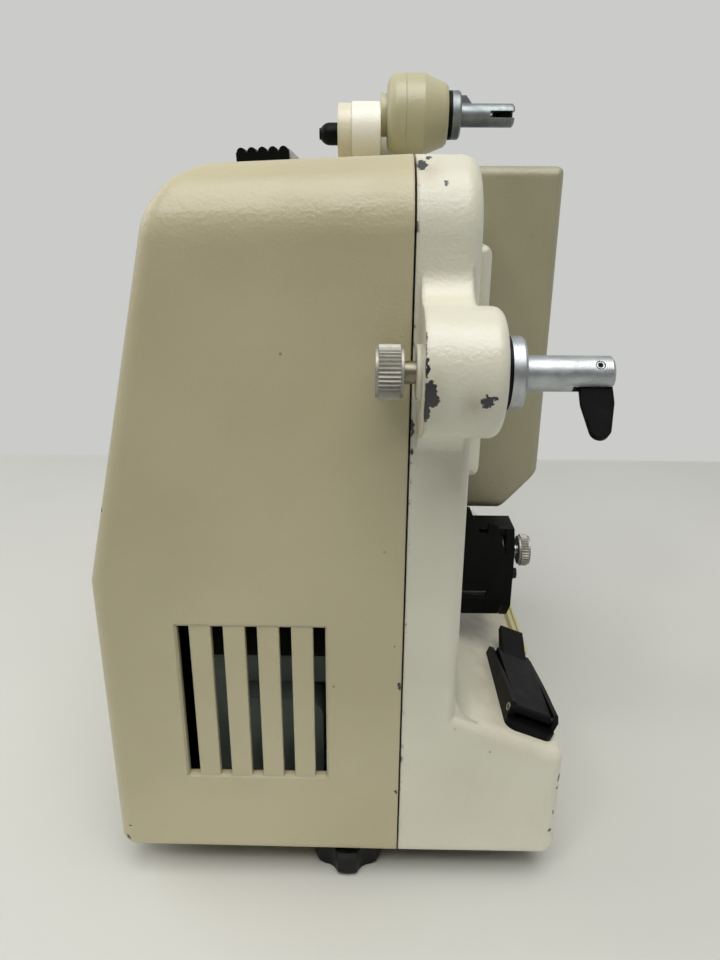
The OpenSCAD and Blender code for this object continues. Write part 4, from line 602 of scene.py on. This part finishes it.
def round_shoulder(shell):
    """Cuts the flat steps of the cover's upper roundings finely and lays the cuts on the fine form."""
    surface = fine_cover_form()
    reach = REFINE_REACH * MM
    low = at(0, 0, REFINE_ABOVE).z
    cuts = []
    for step in range(1, SHOULDER_CUTS + 1):
        angle = math.radians(SHOULDER_STEP * step)
        cuts.append((at(-SHOULDER_X, 0, SHOULDER_Z), Vector((math.sin(angle), 0, math.cos(angle)))))
    along_top = Vector((SHOULDER_X, 0, TOP_FALL)).normalized()
    for step in range(1, TOP_CUTS + 1):
        angle = math.radians(TOP_STEP * step)
        for y, side in ((TOP_R, -1), (BODY_D - TOP_R, 1)):
            spoke = Vector((0, side * math.cos(angle), math.sin(angle)))
            cuts.append((at(0, y, BODY_H - TOP_R), along_top.cross(spoke)))
    for place, across in cuts:
        faces = []
        for face in shell.faces:
            if min(vert.co.z for vert in face.verts) > low:
                _, normal, _, distance = surface.find_nearest(face.calc_center_median())
                if distance < reach and normal.dot(face.normal) > FACES_ALIKE:
                    faces.append(face)
        edges = {edge for face in faces for edge in face.edges}
        verts = {vert for face in faces for vert in face.verts}
        bmesh.ops.bisect_plane(
            shell, geom=faces + list(edges) + list(verts), dist=0.001 * MM, plane_co=place, plane_no=across
        )
    shell.normal_update()
    for vert in shell.verts:
        if vert.co.z > low:
            spot, normal, _, distance = surface.find_nearest(vert.co)
            if distance < reach and normal.dot(vert.normal) > VERTS_ALIKE:
                vert.co = spot
    bmesh.ops.triangulate(shell, faces=[face for face in shell.faces if len(face.verts) > 3])


# The shallow panel round the vents, in millimetres: its edges in the CAD source, a depth that lies behind
# it, and how far its edges move inwards so that it hugs the slots as in the photo
PANEL_X, PANEL_Z, BEHIND_PANEL = (-63.9, -17.4), (25.4, 81.2), 1.0
PANEL_SNUG, ON_EDGE = 2.9, 0.3


def snug_panel(shell):
    """Draws the edges of the shallow panel in towards the vents."""
    back = at(0, BEHIND_PANEL, 0).y
    near = ON_EDGE * MM
    left, low = at(PANEL_X[0], 0, PANEL_Z[0]).xz
    right, high = at(PANEL_X[1], 0, PANEL_Z[1]).xz
    for vert in shell.verts:
        x, y, z = vert.co
        if y < back and left - near < x < right + near and low - near < z < high + near:
            for axis, edge, inwards in ((0, left, 1), (0, right, -1), (2, low, 1), (2, high, -1)):
                if abs(vert.co[axis] - edge) < near:
                    vert.co[axis] += inwards * PANEL_SNUG * MM


def shape_cover(shell):
    """A snug vent panel and finer roundings on the drive cover."""
    snug_panel(shell)
    round_shoulder(shell)


# Edges that turn by less than this are smooth. Corners closer than the merge, in millimetres, become one.
SMOOTH_BELOW = math.radians(28)
MERGE = 0.002


def smooth_shell(node, body, refine=None):
    """Stands a copy of a node in its place, merged and smooth over the flat facets of its roundings."""
    shell = bmesh.new()
    shell.from_mesh(nodes[node].data)
    bmesh.ops.remove_doubles(shell, verts=shell.verts, dist=MERGE * MM)
    if refine:
        refine(shell)
    for face in shell.faces:
        face.smooth = True
    for edge in shell.edges:
        edge.smooth = len(edge.link_faces) == 2 and edge.calc_face_angle(0.0) < SMOOTH_BELOW
    rough_mesh = bpy.data.meshes.new(node + "_rough")
    shell.to_mesh(rough_mesh)
    shell.free()
    # The facets' own normals came along with the copy.
    if "custom_normal" in rough_mesh.attributes:
        rough_mesh.attributes.remove(rough_mesh.attributes["custom_normal"])
    holder = bpy.data.objects.new(node + "_rough", rough_mesh)
    bpy.context.collection.objects.link(holder)
    # Large flat faces keep their own normals beside small roundings.
    level = holder.modifiers.new("level faces", "WEIGHTED_NORMAL")
    level.keep_sharp = True
    levelled = holder.evaluated_get(bpy.context.evaluated_depsgraph_get())
    mesh = bpy.data.meshes.new_from_object(levelled)
    bpy.data.objects.remove(holder)
    piece = new_piece(node + "_smooth", mesh, body, finish_of[node])
    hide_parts(node)


smooth_shell("main_frame", "housing")
smooth_shell("drive_cover", "housing", shape_cover)
smooth_shell("take_up_latch", "take_up_latch")
smooth_shell("feed_latch", "feed_latch")

RING_STEPS = 64


def turned_rings(name, places, axis, profile, body, finish):
    """Rings turned from a closed profile of radius and height in millimetres.
    Each place is a middle and the way that it faces along the axis, 1 or -1."""
    axis = Vector(axis).normalized()
    side = axis.orthogonal().normalized()
    other = axis.cross(side)
    rings = bmesh.new()
    for place, facing in places:
        rows = []
        for step in range(RING_STEPS):
            angle = 2 * math.pi * step / RING_STEPS
            spoke = side * math.cos(angle) + other * math.sin(angle)
            corners = [place + (spoke * r + axis * h * facing) * MM for r, h in profile]
            rows.append([rings.verts.new(corner) for corner in corners])
        for step in range(RING_STEPS):
            here, there = rows[step], rows[(step + 1) % RING_STEPS]
            for corner in range(len(profile)):
                after = (corner + 1) % len(profile)
                rings.faces.new((here[corner], here[after], there[after], there[corner]))
    bmesh.ops.recalc_face_normals(rings, faces=rings.faces)
    mesh = bpy.data.meshes.new(name)
    rings.to_mesh(mesh)
    rings.free()
    new_piece(name, mesh, body, finish)


# Each spindle's body, the inner end of its collar and the axis of its latch pin. The take-up one is turned.
TAKE_UP_TURN = math.radians(40)
SPINDLES = [
    ("take_up", at(19.1, -9.0, 148.0), Vector((0, -math.cos(TAKE_UP_TURN), math.sin(TAKE_UP_TURN)))),
    ("feed", at(17.5, 127.0, 215.8), Vector((0, 0, 1))),
]
# A black fibre washer round the inner end of the collar
WASHER = [(7.9, 0.0), (8.13, 0.0), (8.13, 1.3), (7.9, 1.3)]
# Hollow rivet ends on the latch pin: a rolled rim round a black disc, painted shade in the rivet's hollow
PIN_FROM_COLLAR, PIN_HALF = 20.6, 3.65
RIVET_RIM = [(0.52, 0.0), (0.52, 0.16), (0.66, 0.24), (0.82, 0.24), (0.96, 0.12), (0.96, 0.0)]
RIVET_HOLLOW_SHADE = [(0.02, 0.0), (0.02, 0.03), (0.50, 0.06), (0.50, 0.0)]
for body, collar, pin_axis in SPINDLES:
    turned_rings(
        body + "_washer", [(collar, 1)], (1, 0, 0), WASHER, body, guide_plastic
    )
    pin_middle = collar + Vector((PIN_FROM_COLLAR * MM, 0, 0))
    ends = [(pin_middle + pin_axis * PIN_HALF * facing * MM, facing) for facing in (1, -1)]
    turned_rings(body + "_rivet_rims", ends, pin_axis, RIVET_RIM, body, shaft_steel)
    # Painted shade: a black disc stands for the dark inside of each hollow rivet.
    turned_rings(body + "_rivet_hollow_shade", ends, pin_axis, RIVET_HOLLOW_SHADE, body, guide_plastic)

# A slotted screw's proportions, as shares of the head's radius, its sides and the seed of its angle
CROWN_SHARE, SLOT_LENGTH_SHARE, SLOT_WIDTH_SHARE = 0.82, 2.4, 0.36
HEAD_SIDES, ANGLE_SEED = 28, 7


def screw_head_tree():
    """Geometry Nodes that put a slotted screw head on each point, facing along an axis."""
    tree = bpy.data.node_groups.new("slotted screw heads", "GeometryNodeTree")
    sockets = [
        ("Places", "NodeSocketGeometry"),
        ("Head radius", "NodeSocketFloat"),
        ("Head height", "NodeSocketFloat"),
        ("Slot width", "NodeSocketFloat"),
        ("Axis", "NodeSocketVector"),
        ("Finish", "NodeSocketMaterial"),
    ]
    for label, kind in sockets:
        tree.interface.new_socket(label, in_out="INPUT", socket_type=kind)
    tree.interface.new_socket("Heads", in_out="OUTPUT", socket_type="NodeSocketGeometry")
    given = {label: add(tree, "NodeGroupInput", out=label) for label, kind in sockets}
    radius, height = given["Head radius"], given["Head height"]
    crown = add(tree, "ShaderNodeMath", {0: radius, 1: CROWN_SHARE}, operation="MULTIPLY")
    head = add(
        tree, "GeometryNodeMeshCone",
        {"Vertices": HEAD_SIDES, "Radius Top": crown, "Radius Bottom": radius, "Depth": height},
    )
    length = add(tree, "ShaderNodeMath", {0: radius, 1: SLOT_LENGTH_SHARE}, operation="MULTIPLY")
    slot_size = add(tree, "ShaderNodeCombineXYZ", {"X": length, "Y": given["Slot width"], "Z": height})
    cutter = add(tree, "GeometryNodeMeshCube", {"Size": slot_size})
    lift = add(tree, "ShaderNodeCombineXYZ", {"Z": height})
    raised = add(tree, "GeometryNodeTransform", {"Geometry": cutter, "Translation": lift})
    slotted = add(tree, "GeometryNodeMeshBoolean", {"Mesh 1": head, "Mesh 2": raised}, operation="DIFFERENCE")
    # Each screw stops at its own angle. Sockets 2, 3 and output 1 of Random Value are its numbers.
    angle = add(
        tree, "FunctionNodeRandomValue", {2: 0.0, 3: math.pi, "Seed": ANGLE_SEED}, 1, data_type="FLOAT"
    )
    stop = add(tree, "FunctionNodeAxisAngleToRotation", {"Axis": (0, 0, 1), "Angle": angle})
    facing = add(
        tree, "FunctionNodeAlignRotationToVector", {"Rotation": stop, "Vector": given["Axis"]}, axis="Z"
    )
    heads = add(
        tree, "GeometryNodeInstanceOnPoints",
        {"Points": given["Places"], "Instance": slotted, "Rotation": facing},
    )
    real = add(tree, "GeometryNodeRealizeInstances", {"Geometry": heads})
    finished = add(tree, "GeometryNodeSetMaterial", {"Geometry": real, "Material": given["Finish"]})
    add(tree, "NodeGroupOutput", {"Heads": finished})
    return tree


screw_heads = screw_head_tree()


def fasten(name, places, axis, radius_mm, height_mm, body, finish):
    """Sets screw heads at places on one body, as a plain mesh."""
    dots = bpy.data.meshes.new(name + "_places")
    dots.from_pydata([tuple(place) for place in places], [], [])
    holder = bpy.data.objects.new(name + "_places", dots)
    bpy.context.collection.objects.link(holder)
    grower = holder.modifiers.new("screws", "NODES")
    grower.node_group = screw_heads
    given = {
        "Head radius": radius_mm * MM,
        "Head height": height_mm * MM,
        "Slot width": SLOT_WIDTH_SHARE * radius_mm * MM,
        "Axis": axis,
        "Finish": finish,
    }
    for item in screw_heads.interface.items_tree:
        if item.in_out == "INPUT" and item.name in given:
            grower[item.identifier] = given[item.name]
    grown = holder.evaluated_get(bpy.context.evaluated_depsgraph_get())
    mesh = bpy.data.meshes.new_from_object(grown)
    mesh.name = name
    holder.modifiers.remove(grower)
    bpy.data.objects.remove(holder)
    new_piece(name, mesh, body)


# Screws under the base plate, on the feed arm's plate and on the film guide, placed in millimetres
BASE_UNDER_Z = 2.8
BASE_SCREWS = [(-72, 16), (-72, 93), (-30, 172), (34, 24), (34, 162), (-30, 30), (10, 93)]
base_places = [at(x, y, BASE_UNDER_Z) for x, y in BASE_SCREWS]
fasten(
    "base_screws", base_places, axis=(0, 0, -1), radius_mm=3.2, height_mm=1.7,
    body="housing", finish=shaft_steel,
)
ARM_PLATE_X, ARM_PLATE_Z = -22.3, 210.5
arm_places = [at(ARM_PLATE_X, y, ARM_PLATE_Z) for y in (144, 166)]
fasten(
    "arm_plate_screws", arm_places, axis=(-1, 0, 0), radius_mm=2.0, height_mm=1.1,
    body="feed_arm", finish=shaft_steel,
)
guide_places = [at(37.0, 50.0, 69.4)]
fasten(
    "guide_screw", guide_places, axis=(1, 0, 0), radius_mm=2.1, height_mm=2.4,
    body="housing", finish=plate_lacquer,
)

# Stage: a pale table top, and beyond its line, or far off on any side, the tone of the wall
WALL = "#cbccc9"
WALL_LINE_Y = at(0, 416, 0).y
WALL_LINE_BLUR = 3 * MM
# Half the table's width and the distances of the fade, in metres
TABLE_HALF = 2.0
FADE_START, FADE_END = 0.55, 1.15
# Size of the table's faint clouds in millimetres, and their two tones
TABLE_CLOUD = 160
TABLE_PALE, TABLE_SHADE = "#d6d5cf", "#cecdc6"
# Painted bounce light: more light comes back from the table close to the rear face than from behind the
# photographer, where a real one ends, because the colour that bounce light sees is painted brighter near and
# darker far.
BOUNCE_NEAR_Y, BOUNCE_FAR_Y = at(0, -60, 0).y, at(0, -260, 0).y
BOUNCE_NEAR, BOUNCE_FAR = "#f8faf6", "#767875"


def seen_or_mirrored(tree):
    """1 for what the camera, a reflection or glass shows, and 0 for what lights a matt surface."""
    camera_ray = add(tree, "ShaderNodeLightPath", out="Is Camera Ray")
    glossy_ray = add(tree, "ShaderNodeLightPath", out="Is Glossy Ray")
    glass_ray = add(tree, "ShaderNodeLightPath", out="Is Transmission Ray")
    indirect = add(tree, "ShaderNodeMath", {0: glossy_ray, 1: glass_ray}, operation="MAXIMUM")
    return add(tree, "ShaderNodeMath", {0: camera_ray, 1: indirect}, operation="MAXIMUM")


def table_laminate():
    """Matt white laminate: even, with a very faint soft reflection; for bounce light its colour is painted
    brighter near the rear face.
    """
    material, tree, shader, coords = start_material("laminate, matt white")
    along = add(tree, "ShaderNodeSeparateXYZ", {0: coords}, "Y")
    beyond = add(
        tree, "ShaderNodeMapRange",
        {"Value": along, "From Min": WALL_LINE_Y - WALL_LINE_BLUR, "From Max": WALL_LINE_Y + WALL_LINE_BLUR},
    )
    distance = add(tree, "ShaderNodeVectorMath", {0: coords}, "Value", operation="LENGTH")
    far = add(
        tree, "ShaderNodeMapRange", {"Value": distance, "From Min": FADE_START, "From Max": FADE_END},
        interpolation_type="SMOOTHSTEP",
    )
    beyond = add(tree, "ShaderNodeMath", {0: beyond, 1: far}, operation="MAXIMUM")
    cloud = add(tree, "ShaderNodeTexNoise", {"Vector": coords, "Scale": per(TABLE_CLOUD), "Detail": 3.0})
    top = add(
        tree, "ShaderNodeMix", {MIX_FACTOR: cloud, MIX_A: linear(TABLE_PALE), MIX_B: linear(TABLE_SHADE)},
        MIX_COLOUR, data_type="RGBA",
    )
    # Painted bounce light: the colour that bounce rays see, brighter near the rear face and darker far off.
    behind = add(
        tree, "ShaderNodeMapRange", {"Value": along, "From Min": BOUNCE_NEAR_Y, "From Max": BOUNCE_FAR_Y}
    )
    painted_bounce = add(
        tree, "ShaderNodeMix", {MIX_FACTOR: behind, MIX_A: linear(BOUNCE_NEAR), MIX_B: linear(BOUNCE_FAR)},
        MIX_COLOUR, data_type="RGBA",
    )
    bounce = add(tree, "ShaderNodeLightPath", out="Is Diffuse Ray")
    top = add(
        tree, "ShaderNodeMix", {MIX_FACTOR: bounce, MIX_A: top, MIX_B: painted_bounce},
        MIX_COLOUR, data_type="RGBA",
    )
    tree.links.new(top, shader.inputs["Base Color"])
    shader.inputs["Roughness"].default_value = 0.5
    shader.inputs["Specular IOR Level"].default_value = 0.3
    wall = add(tree, "ShaderNodeEmission", {"Color": linear(WALL)})
    factor = add(tree, "ShaderNodeMath", {0: beyond, 1: seen_or_mirrored(tree)}, operation="MULTIPLY")
    mixed = add(tree, "ShaderNodeMixShader", {0: factor, 1: shader.outputs["BSDF"], 2: wall})
    tree.links.new(mixed, tree.nodes["Material Output"].inputs["Surface"])
    return material


table_mesh = bpy.data.meshes.new("table")
corners = [(x * TABLE_HALF, y * TABLE_HALF, 0) for x, y in ((-1, -1), (1, -1), (1, 1), (-1, 1))]
table_mesh.from_pydata(corners, [], [(0, 1, 2, 3)])
table_mesh.materials.append(table_laminate())
table = bpy.data.objects.new("table", table_mesh)
bpy.context.collection.objects.link(table)

# The room: a pale wall for the camera, and light that falls off behind the photographer
ROOM_LIGHT, ROOM_STRENGTH = "#f2f4f6", 0.38
BEHIND_SHARE = 0.22
world = bpy.data.worlds.new("room")
bpy.context.scene.world = world
world.use_nodes = True
room = world.node_tree
direction = add(room, "ShaderNodeTexCoord", out="Generated")
away = add(room, "ShaderNodeSeparateXYZ", {0: direction}, "Y")
open_side = add(
    room, "ShaderNodeMapRange",
    {"Value": away, "From Min": -0.8, "From Max": 0.35, "To Min": BEHIND_SHARE, "To Max": 1.0},
)
light = add(room, "ShaderNodeMath", {0: open_side, 1: ROOM_STRENGTH}, operation="MULTIPLY")
seen = add(room, "ShaderNodeLightPath", out="Is Camera Ray")
pale = add(room, "ShaderNodeMath", {0: open_side, 1: seen}, operation="MAXIMUM")
lit = add(room, "ShaderNodeBackground", {"Color": linear(ROOM_LIGHT), "Strength": light})
wall_tone = add(room, "ShaderNodeBackground", {"Color": linear(WALL), "Strength": pale})
both = add(room, "ShaderNodeMixShader", {0: seen_or_mirrored(room), 1: lit, 2: wall_tone})
room.links.new(both, room.nodes["World Output"].inputs["Surface"])

PROJECTOR_MIDDLE = Vector((0, 0, 0.11))


def soft_lamp(name, place, size, power, colour):
    """A square area lamp that faces the middle of the projector."""
    lamp = bpy.data.lights.new(name, "AREA")
    lamp.size = size
    lamp.energy = power
    lamp.color = linear(colour)[:3]
    holder = bpy.data.objects.new(name, lamp)
    holder.location = place
    holder.rotation_euler = (PROJECTOR_MIDDLE - Vector(place)).to_track_quat("-Z", "Y").to_euler()
    bpy.context.collection.objects.link(holder)


# Soft light from above the photographer, a cool fill from the left, and a small lamp for glints on the paint
soft_lamp("ceiling", (0.05, -0.44, 1.22), size=1.0, power=13.2, colour="#fdfdfb")
soft_lamp("window", (-0.95, 0.25, 0.75), size=0.8, power=3.2, colour="#f6f9ff")
soft_lamp("bulb", (-0.42, -0.60, 0.90), size=0.10, power=1.0, colour="#fffefb")

# Camera at the photographer's place: close, looking down a little, almost square to the rear face
CAMERA_PLACE = at(-9.5, -166, 179)
FOCAL_PIXELS = 720.5
FRAME_PIXELS = 960
SENSOR_MM = 36.0
PITCH, YAW, ROLL = (math.radians(angle) for angle in (19.7, 0.8, 0.34))

view_data = bpy.data.cameras.new("photo camera")
view_data.sensor_width = SENSOR_MM
view_data.lens = FOCAL_PIXELS / FRAME_PIXELS * SENSOR_MM
view_data.clip_start = 0.01
camera = bpy.data.objects.new("photo camera", view_data)
bpy.context.collection.objects.link(camera)
forward = Vector((-math.sin(YAW) * math.cos(PITCH), math.cos(YAW) * math.cos(PITCH), -math.sin(PITCH)))
right = Vector((math.cos(YAW), math.sin(YAW), 0))
up = right.cross(forward)
rolled_right = right * math.cos(ROLL) + up * math.sin(ROLL)
rolled_up = up * math.cos(ROLL) - right * math.sin(ROLL)
turn = Matrix((rolled_right, rolled_up, -forward)).transposed()
camera.matrix_world = Matrix.Translation(CAMERA_PLACE) @ turn.to_4x4()
bpy.context.scene.camera = camera

bpy.context.scene.view_settings.view_transform = "Standard"
